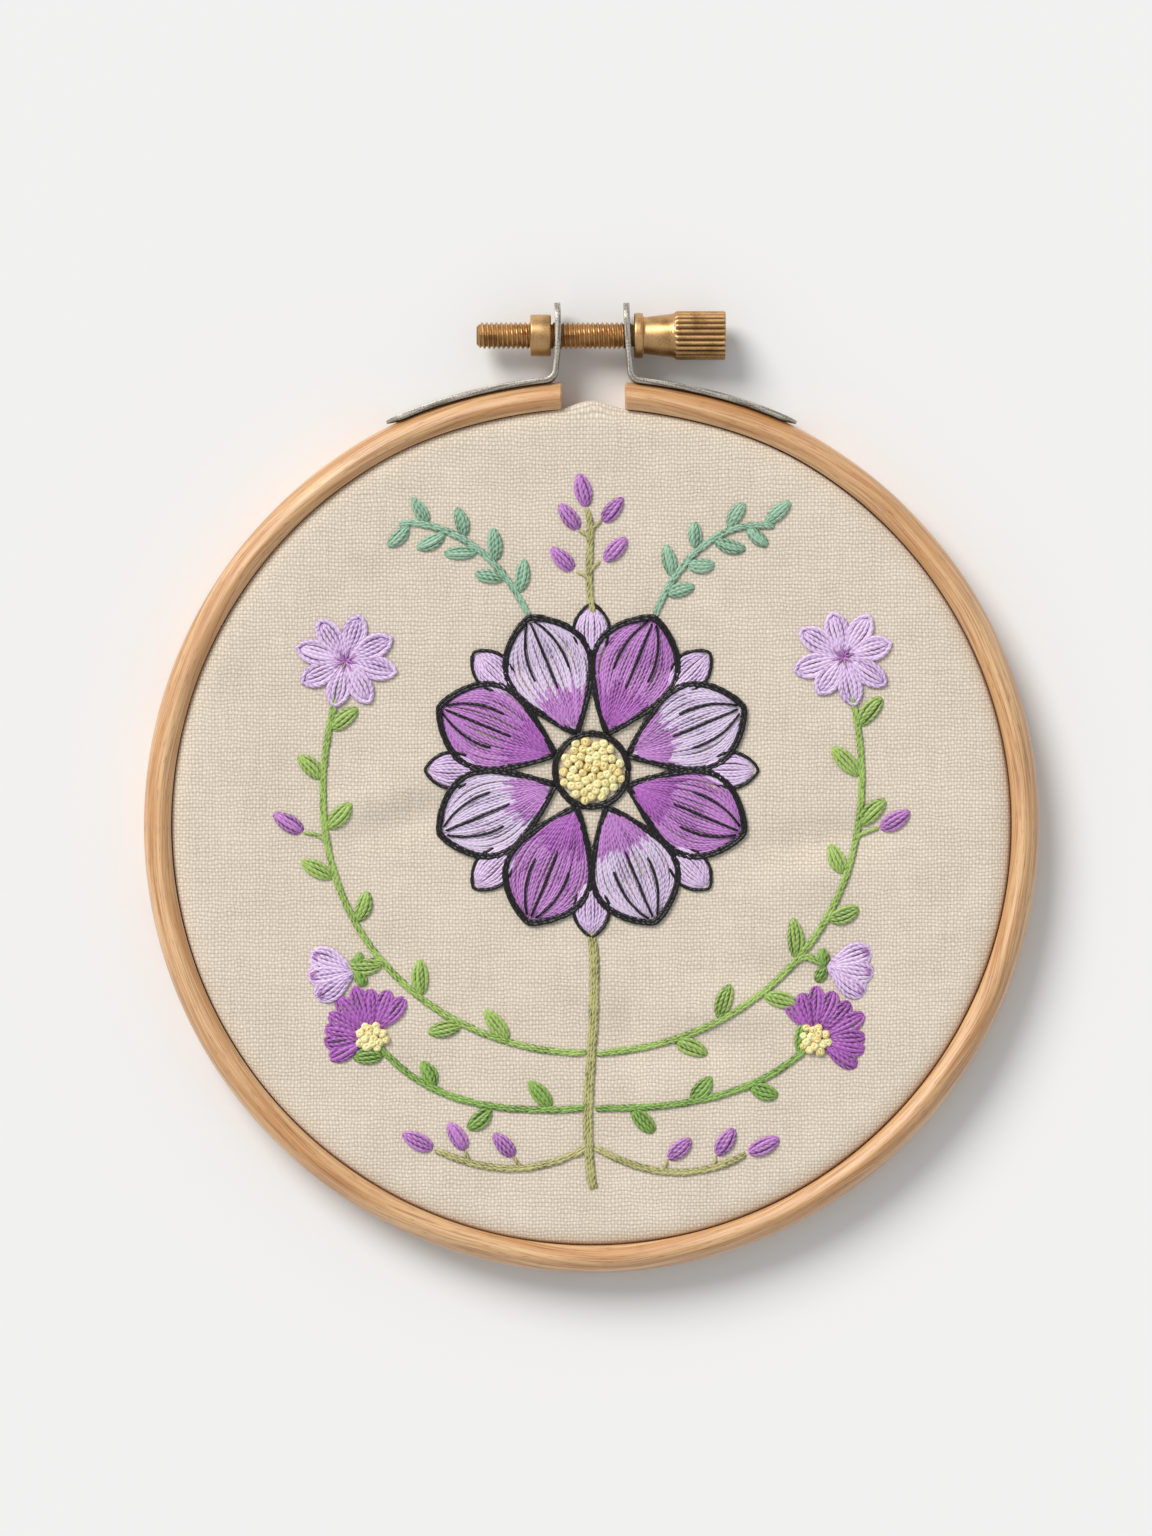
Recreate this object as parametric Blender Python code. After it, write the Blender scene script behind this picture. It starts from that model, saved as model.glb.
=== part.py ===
"""Hoop embroidery art: a split wooden hoop with a clamp screw, its inner hoop and the cloth between them.

Metres, +Z up. The work lies on its back, face up, with the screw towards +Y. The origin is the bottom
centre of the whole object's box. Each piece is modelled about the centre of the hoops, which is the empty
hoop_centre, and the thumbscrew about its own axis.
"""

import math
from collections import namedtuple

import bmesh
import bpy
from mathutils import Matrix, Vector

MM = 0.001
PIECE_GAP = 0.3 * MM
MERGE = 0.001 * MM
TURN = 2 * math.pi

# Hoops: a five inch hoop is 130 mm wide outside
HOOP_RADIUS = 65.0 * MM
HOOP_DEPTH = 9.0 * MM
OUTER_WALL = 4.0 * MM
INNER_WALL = 4.0 * MM
SPLIT_WIDTH = 9.2 * MM
SPLIT_CENTRE = 0.3 * MM
FRONT_ROUND = 1.6 * MM
BACK_ROUND = 0.8 * MM
HOOP_STEPS = 100

# The clamp draws both hoops in by half a millimetre near the split
SQUEEZE = 0.5 * MM
SQUEEZE_FULL = math.radians(10)
SQUEEZE_NONE = math.radians(30)

# Cloth: stretched over the inner hoop, with its margin held between the hoops and trimmed at the back
CLOTH_THICKNESS = 1.0 * MM
CLOTH_BELOW_FRONT = 1.2 * MM
CLOTH_EDGE_ROUND = 1.4 * MM
CLOTH_TRIM_HEIGHT = 0.6 * MM
CLOTH_FACE_RINGS = 10
CLOTH_PEAK = 1.7 * MM

# Clamp screw: M4 with a 0.7 mm pitch, measured from the middle of the split
SCREW_HEIGHT_ABOVE_CENTRE = 71.2 * MM
THREAD_PITCH = 0.7 * MM
THREAD_CREST = 1.95 * MM
THREAD_ROOT = 1.55 * MM
THREAD_STEPS = 12
THREAD_TIP = -16.7 * MM
THREAD_TIP_CHAMFER = 0.6 * MM
BLANK_ROOM = 0.1 * MM
FLANGE_START = 6.2 * MM
FLANGE_LENGTH = 1.3 * MM
FLANGE_RADIUS = 3.3 * MM
NECK_START_RADIUS = 2.65 * MM
NECK_END_RADIUS = 3.2 * MM
KNURL_START = 12.0 * MM
KNURL_END = 19.5 * MM
KNURL_RADIUS = 3.55 * MM
KNURL_GROOVE = 0.28 * MM
KNURL_RIDGES = 24
KNURL_SHOULDER = 0.7 * MM
HEAD_EDGE = 0.2 * MM
NUT_START = -8.9 * MM
NUT_LENGTH = 3.0 * MM
NUT_RADIUS = 3.05 * MM
NUT_CHAMFER = 0.25 * MM
SHANK_CLEARANCE = 0.3 * MM

# Brackets: a bent strip of plated steel on each end of the split hoop
PLATE_THICKNESS = 0.8 * MM
PLATE_WIDTH = 7.0 * MM
PLATE_BEND = 1.6 * MM
EAR_TOP = 76.0 * MM
ARM_END = math.radians(27.0)
PLATE_END_ROUND = 2.5 * MM
ARM_STEPS = 12
BEND_STEPS = 5
EAR_STEPS = 8
ROUND_END_STEPS = 4
TAPER_LENGTH = 2.4 * MM
TAPER_SHARE = 0.4
DIMPLE_ANGLES = (math.radians(11.8), math.radians(24.0))
DIMPLE_RADIUS = 1.5 * MM
DIMPLE_HEIGHT = 0.4 * MM

Side = namedtuple("Side", "name sign ear_x lean")
SIDES = (
    Side("left", -1, 5.1 * MM, math.radians(1.5)),
    Side("right", 1, 5.3 * MM, math.radians(3.2)),
)

# Soft troughs and ridges that the pull of the stitches leaves in the cloth, in millimetres from its centre
Ripple = namedtuple("Ripple", "x y half_length half_width turn_deg height")
RIPPLES = (
    Ripple(34.6, -1.9, 9.5, 2.8, 7, -0.35),
    Ripple(33.9, -7.4, 9.5, 3.6, 2, 0.30),
    Ripple(-7.5, 23.3, 7.5, 3.0, -5, -0.25),
    Ripple(9.2, 22.2, 7.0, 3.0, -5, -0.30),
    Ripple(0.5, 16.7, 13.0, 4.0, 0, 0.28),
    Ripple(-29.3, 4.4, 9.5, 3.0, 18, 0.20),
    Ripple(-27.8, 0.3, 9.5, 2.8, 18, -0.25),
    Ripple(5.3, -29.7, 7.5, 2.8, 90, -0.22),
    Ripple(16.5, -32.0, 8.5, 3.5, 3, -0.25),
    Ripple(21.6, -26.6, 8.0, 3.5, -5, 0.25),
    Ripple(31.0, -22.0, 8.0, 3.0, -12, -0.28),
)
# Shares of the inner hoop's radius over which the ripples die out
RIPPLE_FADE = 0.78
RIPPLE_END = 0.90

CLOTH_FRONT = HOOP_DEPTH - CLOTH_BELOW_FRONT
CLOTH_OUTER_RADIUS = HOOP_RADIUS - OUTER_WALL - PIECE_GAP
CLOTH_INNER_RADIUS = CLOTH_OUTER_RADIUS - CLOTH_THICKNESS
INNER_HOOP_RADIUS = CLOTH_INNER_RADIUS - PIECE_GAP
INNER_HOOP_TOP = CLOTH_FRONT - CLOTH_THICKNESS - PIECE_GAP
HOOP_CENTRE_Y = (HOOP_RADIUS - EAR_TOP) / 2
SCREW_Z = HOOP_DEPTH / 2


def make_material(name, colour, roughness, metallic=0.0):
    material = bpy.data.materials.new(name)
    material.use_nodes = True
    shader = material.node_tree.nodes["Principled BSDF"]
    shader.inputs["Base Color"].default_value = (*colour, 1.0)
    shader.inputs["Roughness"].default_value = roughness
    shader.inputs["Metallic"].default_value = metallic
    return material


def add_object(name, bm, material, parent):
    """Turns a bmesh into a smooth shaded object with outward faces."""
    bmesh.ops.recalc_face_normals(bm, faces=bm.faces)
    mesh = bpy.data.meshes.new(name)
    bm.to_mesh(mesh)
    bm.free()
    mesh.shade_smooth()
    mesh.set_sharp_from_angle(angle=math.radians(35))
    if material:
        mesh.materials.append(material)
    obj = bpy.data.objects.new(name, mesh)
    bpy.context.scene.collection.objects.link(obj)
    obj.parent = parent
    return obj


def add_boolean(obj, helper, operation):
    """Shapes an object with a helper, which is kept out of the model."""
    helper.hide_render = True
    helper.display_type = "WIRE"
    modifier = obj.modifiers.new(operation.title(), "BOOLEAN")
    modifier.operation = operation
    modifier.object = helper


def spin(profile, steps, loop):
    """Spins (radius, height) points about Z. A loop is a ring's section; otherwise both ends are on the axis."""
    bm = bmesh.new()
    verts = [bm.verts.new((radius, 0, height)) for radius, height in profile]
    ends = list(zip(verts, verts[1:])) + ([(verts[-1], verts[0])] if loop else [])
    edges = [bm.edges.new(pair) for pair in ends]
    bmesh.ops.spin(bm, geom=verts + edges, cent=(0, 0, 0), axis=(0, 0, 1), angle=TURN, steps=steps)
    bmesh.ops.remove_doubles(bm, verts=bm.verts, dist=MERGE)
    return bm


def arc(centre, radius, start_deg, end_deg, steps):
    """Points on an arc in the plane of a profile."""
    angles = [math.radians(start_deg + (end_deg - start_deg) * i / steps) for i in range(steps + 1)]
    return [(centre[0] + radius * math.cos(a), centre[1] + radius * math.sin(a)) for a in angles]


def hoop_profile(inside, outside, top, front_round, back_round, steps):
    """The section of a wooden hoop: a flat back and well rounded front corners."""
    return [
        *arc((outside - back_round, back_round), back_round, -90, 0, 2),
        *arc((outside - front_round, top - front_round), front_round, 0, 90, steps),
        *arc((inside + front_round, top - front_round), front_round, 90, 180, steps),
        *arc((inside + back_round, back_round), back_round, 180, 270, 2),
    ]


def squeezed(x, y):
    """The factor by which the clamp draws a point in: most near the split, and 1 away from it."""
    share = (SQUEEZE_NONE - abs(math.atan2(x, y))) / (SQUEEZE_NONE - SQUEEZE_FULL)
    share = min(1.0, max(0.0, share))
    return 1 - SQUEEZE / HOOP_RADIUS * share * share * (3 - 2 * share)


def squeeze_ring(bm):
    for vert in bm.verts:
        vert.co.xy *= squeezed(vert.co.x, vert.co.y)


def build_outer_hoop(material, centre):
    inside = HOOP_RADIUS - OUTER_WALL
    profile = hoop_profile(inside, HOOP_RADIUS, HOOP_DEPTH, FRONT_ROUND, BACK_ROUND, 3)
    bm = spin(profile, HOOP_STEPS, True)
    squeeze_ring(bm)
    hoop = add_object("outer_hoop", bm, material, centre)
    bm = bmesh.new()
    bmesh.ops.create_cube(bm, size=1)
    split = add_object("split_cutter", bm, None, centre)
    split.data.transform(Matrix.Diagonal((SPLIT_WIDTH, 3 * OUTER_WALL, 2 * HOOP_DEPTH, 1)))
    split.location = (SPLIT_CENTRE, HOOP_RADIUS - OUTER_WALL / 2, HOOP_DEPTH / 2)
    add_boolean(hoop, split, "DIFFERENCE")


def build_inner_hoop(material, centre):
    inside = INNER_HOOP_RADIUS - INNER_WALL
    profile = hoop_profile(inside, INNER_HOOP_RADIUS, INNER_HOOP_TOP, BACK_ROUND, BACK_ROUND, 2)
    bm = spin(profile, HOOP_STEPS, True)
    squeeze_ring(bm)
    add_object("inner_hoop", bm, material, centre)


def ripple_height(x, y):
    """The height that the ripples add to the cloth at a point, dying out towards the inner hoop."""
    total = 0.0
    for ripple in RIPPLES:
        turn = math.radians(ripple.turn_deg)
        dx = x / MM - ripple.x
        dy = y / MM - ripple.y
        along = (dx * math.cos(turn) + dy * math.sin(turn)) / ripple.half_length
        across = (dy * math.cos(turn) - dx * math.sin(turn)) / ripple.half_width
        total += ripple.height * MM * math.exp(-along * along - across * across)
    reach = math.hypot(x, y) / INNER_HOOP_RADIUS
    return total * min(1.0, max(0.0, (RIPPLE_END - reach) / (RIPPLE_END - RIPPLE_FADE)))


def cloth_profile():
    """The cloth's section from the middle of its front, over the hoop's edge, and back to the middle behind."""
    flat_end = CLOTH_OUTER_RADIUS - CLOTH_EDGE_ROUND
    corner_height = CLOTH_FRONT - CLOTH_EDGE_ROUND
    inner_round = CLOTH_EDGE_ROUND - CLOTH_THICKNESS
    rings = [flat_end * i / CLOTH_FACE_RINGS for i in range(CLOTH_FACE_RINGS)]
    front = [(radius, CLOTH_FRONT) for radius in rings]
    back = [(radius, CLOTH_FRONT - CLOTH_THICKNESS) for radius in reversed(rings)]
    return [
        *front,
        *arc((flat_end, corner_height), CLOTH_EDGE_ROUND, 90, 0, 4),
        (CLOTH_OUTER_RADIUS, CLOTH_TRIM_HEIGHT),
        (CLOTH_INNER_RADIUS, CLOTH_TRIM_HEIGHT),
        *arc((flat_end, corner_height), inner_round, 0, 90, 2),
        *back,
    ]


def build_cloth(material, centre):
    """One sheet with its rippled face, its margin round the inner hoop and the peak that it lifts in the split."""
    bm = spin(cloth_profile(), HOOP_STEPS, False)
    for vert in bm.verts:
        radius = math.hypot(vert.co.x, vert.co.y)
        vert.co.z += ripple_height(vert.co.x, vert.co.y)
        in_split = vert.co.y > 0 and abs(vert.co.x) < MERGE
        if in_split and radius > CLOTH_OUTER_RADIUS - CLOTH_EDGE_ROUND + MERGE:
            vert.co.y += CLOTH_PEAK * vert.co.z / CLOTH_FRONT
    squeeze_ring(bm)
    add_object("cloth", bm, material, centre)


def on_hoop(side, angle, above):
    """A point that stands off the outer hoop, at an angle from the split."""
    direction = Vector((side.sign * math.sin(angle), math.cos(angle)))
    return direction * (HOOP_RADIUS * squeezed(*direction) + PIECE_GAP + above)


def plate_path(side):
    """The middle line of a bracket, from the end of its arm to the top of its ear."""
    radius = on_hoop(side, 0, PLATE_THICKNESS / 2).y
    up = Vector((-side.sign * math.sin(side.lean), math.cos(side.lean)))
    outward = Vector((side.sign * up.y, -side.sign * up.x))
    at_screw = Vector((side.sign * side.ear_x, SCREW_HEIGHT_ABOVE_CENTRE))
    # The bend's centre is one bend radius off both the ear and the arm's circle
    offset = at_screw + outward * PLATE_BEND
    along = offset.dot(up)
    reach = radius + PLATE_BEND
    bend_centre = offset + up * (math.sqrt(along**2 - offset.length_squared + reach**2) - along)
    touch = math.atan2(side.sign * bend_centre.x, bend_centre.y)
    angles = [ARM_END + (touch - ARM_END) * i / ARM_STEPS for i in range(ARM_STEPS + 1)]
    points = [on_hoop(side, angle, PLATE_THICKNESS / 2) for angle in angles]
    start = -bend_centre.normalized()
    sweep = -side.sign * start.angle(-outward)
    for i in range(1, BEND_STEPS + 1):
        turned = Matrix.Rotation(sweep * i / BEND_STEPS, 2) @ start
        points.append(bend_centre + turned * PLATE_BEND)
    # The bend's end lies on the ear's own line
    ear_start = points[-1]
    ear_length = (EAR_TOP - ear_start.y) / up.y
    points += [ear_start + up * (ear_length * i / EAR_STEPS) for i in range(1, EAR_STEPS + 1)]
    return points


def half_width_at(distance_to_end):
    """Half the plate's width, drawn in to a round end."""
    share = max(0.0, 1 - distance_to_end / PLATE_END_ROUND)
    return PLATE_WIDTH / 2 - PLATE_END_ROUND * (1 - math.sqrt(1 - share * share))


def distances_along(points):
    distances = [0.0]
    for a, b in zip(points, points[1:]):
        distances.append(distances[-1] + (b - a).length)
    return distances


def strip_stations(distances):
    """Distances at which the strip gets a section: at each point, and closer together round its ends."""
    total = distances[-1]
    turns = [math.pi / 2 * i / ROUND_END_STEPS for i in range(ROUND_END_STEPS + 1)]
    near = [PLATE_END_ROUND * (1 - math.cos(turn)) for turn in turns]
    far = [total - distance for distance in reversed(near)]
    return near + [d for d in distances if near[-1] + MERGE < d < far[0] - MERGE] + far


def point_at(points, distances, station):
    """The point and the direction of a line at a distance along it."""
    k = max([0] + [i for i in range(len(points) - 1) if distances[i] <= station])
    share = (station - distances[k]) / (distances[k + 1] - distances[k])
    return points[k].lerp(points[k + 1], share), (points[k + 1] - points[k]).normalized()


def strip_mesh(side):
    """The bent strip: a section across it at each station, thinner at the free end of the arm."""
    line = plate_path(side)
    distances = distances_along(line)
    bm = bmesh.new()
    loops = []
    for station in strip_stations(distances):
        point, direction = point_at(line, distances, station)
        normal = Vector((direction.y, -direction.x)) * -side.sign
        half_width = half_width_at(min(station, distances[-1] - station))
        taper = TAPER_SHARE + (1 - TAPER_SHARE) * min(1.0, station / TAPER_LENGTH)
        under = point - normal * PLATE_THICKNESS / 2
        over = under + normal * PLATE_THICKNESS * taper
        corners = ((under, -half_width), (over, -half_width), (over, half_width), (under, half_width))
        loops.append([bm.verts.new((*place, SCREW_Z + across)) for place, across in corners])
    for a, b in zip(loops, loops[1:]):
        for i in range(4):
            j = (i + 1) % 4
            bm.faces.new((a[i], a[j], b[j], b[i]))
    bm.faces.new(loops[0])
    bm.faces.new(loops[-1])
    return bm


def build_bracket(side, material, centre):
    """A bent steel strip: the arm lies on the hoop, the ear stands up with a hole for the screw."""
    bracket = add_object(f"bracket_{side.name}", strip_mesh(side), material, centre)

    bm = bmesh.new()
    hole_radius = THREAD_CREST + SHANK_CLEARANCE
    bmesh.ops.create_cone(
        bm, cap_ends=True, segments=24, radius1=hole_radius, radius2=hole_radius, depth=6 * PLATE_THICKNESS
    )
    hole = add_object(f"hole_cutter_{side.name}", bm, None, centre)
    hole.rotation_euler = (0, math.pi / 2, 0)
    hole.location = (side.sign * side.ear_x, SCREW_HEIGHT_ABOVE_CENTRE, SCREW_Z)
    add_boolean(bracket, hole, "DIFFERENCE")

    for number, angle in enumerate(DIMPLE_ANGLES):
        bm = bmesh.new()
        bmesh.ops.create_uvsphere(bm, u_segments=12, v_segments=8, radius=1)
        dimple = add_object(f"dimple_{side.name}_{number}", bm, None, centre)
        dimple.data.transform(Matrix.Diagonal((DIMPLE_RADIUS, DIMPLE_HEIGHT, DIMPLE_RADIUS, 1)))
        dimple.location = (*on_hoop(side, angle, PLATE_THICKNESS), SCREW_Z)
        dimple.rotation_euler = (0, 0, -side.sign * angle)
        add_boolean(bracket, dimple, "UNION")


def thread_row(bm, radius, start):
    """One turn of points that climb by a pitch along Z."""
    angles = [TURN * i / THREAD_STEPS for i in range(THREAD_STEPS)]
    climb = THREAD_PITCH / TURN
    return [bm.verts.new((radius * math.cos(a), radius * math.sin(a), start + climb * a)) for a in angles]


def thread_mesh(start, end):
    """A helical ridge along Z: rows of crest and root points half a pitch apart, closed at both ends."""
    rows = 2 * math.ceil((end - start) / THREAD_PITCH) + 5
    bm = bmesh.new()
    grid = []
    for row in range(rows):
        radius = THREAD_CREST if row % 2 else THREAD_ROOT
        grid.append(thread_row(bm, radius, start + THREAD_PITCH * (row - 3) / 2))
    for low, high in zip(grid, grid[1:]):
        for i in range(THREAD_STEPS - 1):
            bm.faces.new((low[i], low[i + 1], high[i + 1], high[i]))
    # After a turn each row meets the row two above it
    for row in range(rows - 3):
        bm.faces.new((grid[row][-1], grid[row + 2][0], grid[row + 3][0], grid[row + 1][-1]))
    first = [*grid[0], grid[2][0], grid[1][0]]
    last = [*grid[-1], grid[-2][-1], grid[-3][-1]]
    for rim in (first, last):
        middle = bm.verts.new((0, 0, rim[0].co.z + THREAD_PITCH / 2))
        for a, b in zip(rim, rim[1:] + rim[:1]):
            bm.faces.new((a, b, middle))
    return bm


def head_profile():
    """The turned flange, neck and knurled knob, as (radius, position) along the screw."""
    flange_end = FLANGE_START + FLANGE_LENGTH
    edge = HEAD_EDGE
    shoulder = KNURL_SHOULDER
    return [
        (0, FLANGE_START),
        (FLANGE_RADIUS - edge, FLANGE_START),
        (FLANGE_RADIUS, FLANGE_START + edge),
        (FLANGE_RADIUS, flange_end - edge),
        (FLANGE_RADIUS - edge, flange_end),
        (NECK_START_RADIUS, flange_end),
        (NECK_END_RADIUS, KNURL_START),
        (KNURL_RADIUS, KNURL_START + shoulder),
        (KNURL_RADIUS, KNURL_END - shoulder),
        (KNURL_RADIUS - edge, KNURL_END - edge),
        (KNURL_RADIUS - shoulder, KNURL_END),
        (0, KNURL_END),
    ]


def build_thumbscrew(material, centre):
    """The threaded rod and its knurled head, one turned piece about the joint's axis.

    The thread is cut to a chamfered bar that is a little wider than its crest and ends inside the flange.
    """
    screw = add_object("thumbscrew", thread_mesh(THREAD_TIP, FLANGE_START), material, centre)
    screw.location = (0, SCREW_HEIGHT_ABOVE_CENTRE, SCREW_Z)
    screw.rotation_euler = (0, math.pi / 2, 0)

    bar_radius = THREAD_CREST + BLANK_ROOM
    inside_head = FLANGE_START + FLANGE_LENGTH / 2
    bar_profile = [
        (0, THREAD_TIP),
        (THREAD_ROOT, THREAD_TIP),
        (bar_radius, THREAD_TIP + THREAD_TIP_CHAMFER),
        (bar_radius, inside_head),
        (0, inside_head),
    ]
    bar = add_object("threaded_bar", spin(bar_profile, 32, False), None, screw)
    add_boolean(screw, bar, "INTERSECT")

    bm = spin(head_profile(), 2 * KNURL_RIDGES, False)
    for vert in bm.verts:
        step = round(math.atan2(vert.co.y, vert.co.x) / TURN * 2 * KNURL_RIDGES)
        radius = math.hypot(vert.co.x, vert.co.y)
        if step % 2 and radius > NECK_END_RADIUS + MERGE and vert.co.z > KNURL_START:
            vert.co.xy *= (radius - KNURL_GROOVE) / radius
    head = add_object("screw_head", bm, None, screw)
    add_boolean(screw, head, "UNION")


def build_nut(material, centre):
    """The plain round nut that the thread runs through, against the left ear."""
    bore = THREAD_CREST + SHANK_CLEARANCE
    end = NUT_START + NUT_LENGTH
    profile = [
        (bore, NUT_START),
        (NUT_RADIUS - NUT_CHAMFER, NUT_START),
        (NUT_RADIUS, NUT_START + NUT_CHAMFER),
        (NUT_RADIUS, end - NUT_CHAMFER),
        (NUT_RADIUS - NUT_CHAMFER, end),
        (bore, end),
    ]
    nut = add_object("clamp_nut", spin(profile, 32, True), material, centre)
    nut.location = (0, SCREW_HEIGHT_ABOVE_CENTRE, SCREW_Z)
    nut.rotation_euler = (0, math.pi / 2, 0)


def clear_scene():
    for obj in list(bpy.data.objects):
        bpy.data.objects.remove(obj)


def main():
    clear_scene()
    centre = bpy.data.objects.new("hoop_centre", None)
    bpy.context.scene.collection.objects.link(centre)
    centre.location = (0, HOOP_CENTRE_Y, 0)

    beech = make_material("beech", (0.62, 0.36, 0.15), 0.5)
    linen = make_material("linen", (0.70, 0.62, 0.50), 0.9)
    plated_steel = make_material("plated_steel", (0.50, 0.50, 0.48), 0.45, 1.0)
    brass = make_material("brass", (0.60, 0.38, 0.14), 0.35, 1.0)

    build_outer_hoop(beech, centre)
    build_inner_hoop(beech, centre)
    build_cloth(linen, centre)
    for side in SIDES:
        build_bracket(side, plated_steel, centre)
    build_nut(brass, centre)
    build_thumbscrew(brass, centre)


main()
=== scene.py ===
"""Hoop embroidery art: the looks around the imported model.

Natural linen with a posy in stranded cotton, stretched in a split beech hoop with a brass clamp screw.
The file is laid out as an add-on and run as a script. Every piece is worked out in millimetres about the
hoops' centre, with x to the picture's right, y to its top and z out of its face, and is moved to the
frame's metres as it is made.
"""

import math
from collections import namedtuple

import bpy
import numpy as np
from bpy.props import FloatProperty, FloatVectorProperty, IntProperty, PointerProperty
from bpy.types import Operator, Panel, PropertyGroup
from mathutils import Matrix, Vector


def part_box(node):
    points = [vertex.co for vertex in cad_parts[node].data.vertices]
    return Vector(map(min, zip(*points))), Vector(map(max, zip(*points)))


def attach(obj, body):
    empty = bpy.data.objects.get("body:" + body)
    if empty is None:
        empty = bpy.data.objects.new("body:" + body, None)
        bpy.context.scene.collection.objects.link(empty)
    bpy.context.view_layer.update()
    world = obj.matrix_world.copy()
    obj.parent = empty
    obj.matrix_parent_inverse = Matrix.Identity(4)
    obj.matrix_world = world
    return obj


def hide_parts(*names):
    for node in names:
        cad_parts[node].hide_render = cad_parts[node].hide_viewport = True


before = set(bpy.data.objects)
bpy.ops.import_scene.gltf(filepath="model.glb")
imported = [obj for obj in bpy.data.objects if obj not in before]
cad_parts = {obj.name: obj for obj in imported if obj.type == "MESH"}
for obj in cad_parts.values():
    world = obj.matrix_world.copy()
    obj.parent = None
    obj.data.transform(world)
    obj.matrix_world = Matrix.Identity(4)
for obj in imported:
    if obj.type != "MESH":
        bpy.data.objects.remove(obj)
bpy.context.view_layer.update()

bl_info = {
    "name": "Hoop embroidery art",
    "version": (1, 0, 0),
    "blender": (4, 5, 0),
    "location": "3D View > Sidebar > Hoop art",
    "description": "Makes an embroidered picture in its wooden hoop",
    "category": "Add Mesh",
}

MM = 0.001
TURN = 2 * math.pi
UP = np.array([0.0, 0.0, 1.0])

HOOP_LOW, HOOP_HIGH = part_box("outer_hoop")
SCREW_LOW, SCREW_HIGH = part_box("thumbscrew")
NUT_LOW, NUT_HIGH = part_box("clamp_nut")
EAR_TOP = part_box("bracket_right")[1].y / MM
HOOP_RADIUS = (HOOP_HIGH.x - HOOP_LOW.x) / 2 / MM
HOOP_DEPTH = HOOP_HIGH.z / MM
CENTRE_Y = HOOP_LOW.y / MM + HOOP_RADIUS
SCREW_Y = (SCREW_LOW.y + SCREW_HIGH.y) / 2 / MM - CENTRE_Y
SCREW_Z = (SCREW_LOW.z + SCREW_HIGH.z) / 2 / MM


def linear(code):
    """The linear colour of an sRGB hex code such as #D2A270."""
    channels = [int(code[i : i + 2], 16) / 255 for i in (1, 3, 5)]
    return tuple(c / 12.92 if c <= 0.04045 else ((c + 0.055) / 1.055) ** 2.4 for c in channels) + (1.0,)


def length(name, description, millimetres):
    """A length that the sidebar shows, stored in metres."""
    return FloatProperty(
        name=name, description=description, default=millimetres * MM, min=0.0, precision=5, unit="LENGTH"
    )


def colour(name, description, code):
    """A colour that the sidebar shows."""
    return FloatVectorProperty(
        name=name, description=description, default=linear(code), size=4, min=0.0, max=1.0, subtype="COLOR"
    )


class HoopSizes(PropertyGroup):
    """Sizes of the two wooden hoops."""

    radius: length("Radius", "Outside radius of the outer hoop", HOOP_RADIUS)
    depth: length("Depth", "Depth of the outer hoop from its front to its back", HOOP_DEPTH)
    wall: length("Wall", "Thickness of each hoop's wall", 4.0)
    ridge: length("Ridge", "From the outer hoop's inside to the ridge of its front", 1.7)
    split_left: length("Split left", "From the middle to the left end of the split ring", 4.3)
    split_right: length("Split right", "From the middle to the right end of the split ring", 4.9)
    inner_fall: length("Inner fall", "How far the front falls from its ridge to the inside", 1.4)
    outer_fall: length("Outer fall", "How far the front falls from its ridge to the outside", 2.8)
    back_round: length("Back rounding", "Radius of the edges at the back", 0.8)
    squeeze: length("Squeeze", "How far the clamp draws the ring in near the split", 0.5)


class ClothSizes(PropertyGroup):
    """Sizes of the linen."""

    below_front: length("Below the front", "How far the cloth lies below the hoop's front", 1.2)
    thickness: length("Thickness", "Thickness of the linen", 0.5)
    bend_width: length("Bend width", "How far in the cloth starts to bend over the inner hoop", 2.9)
    bend_fall: length("Bend fall", "How far the cloth falls over that bend", 1.1)
    cut_radius: length("Cut radius", "Radius of the round cut, before it is stretched", 67.0)
    warp_pitch: length("Warp pitch", "From one upright thread to the next", 0.46)
    weft_pitch: length("Weft pitch", "From one level thread to the next", 0.54)
    gap: length("Gap", "Between the cloth's bend and the outer hoop, on the average", 0.21)
    aside: length("Aside", "How far the cloth and the inner hoop sit off the middle, to the upper left", 0.15)
    peak: length("Peak", "How far the cloth stands up in the split", 1.3)


class ClampSizes(PropertyGroup):
    """Sizes of the screw, its nut and the brackets."""

    pitch: length("Thread pitch", "Pitch of the rod's thread", 0.7)
    crest: length("Thread crest", "Radius of the rod's thread at its crest", 1.95)
    root: length("Thread root", "Radius of the rod's thread at its root", 1.6)
    flange_start: length("Flange start", "From the middle of the split to the flange", 6.2)
    flange_radius: length("Flange radius", "Radius of the flange", 3.3)
    knurl_start: length("Knurl start", "From the middle of the split to the knurled grip", 12.0)
    knurl_radius: length("Knurl radius", "Radius over the ridges", 3.55)
    knurl_depth: length("Knurl depth", "Depth of the grooves between the ridges", 0.42)
    ridges: IntProperty(name="Ridges", description="Ridges round the grip", default=24, min=6)
    plate: length("Plate", "Thickness of the bracket's steel", 0.85)
    plate_width: length("Plate width", "Width of the bracket's steel", 7.0)
    plate_bend: length("Plate bend", "Radius of the bend from the arm to the ear", 1.6)


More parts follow.
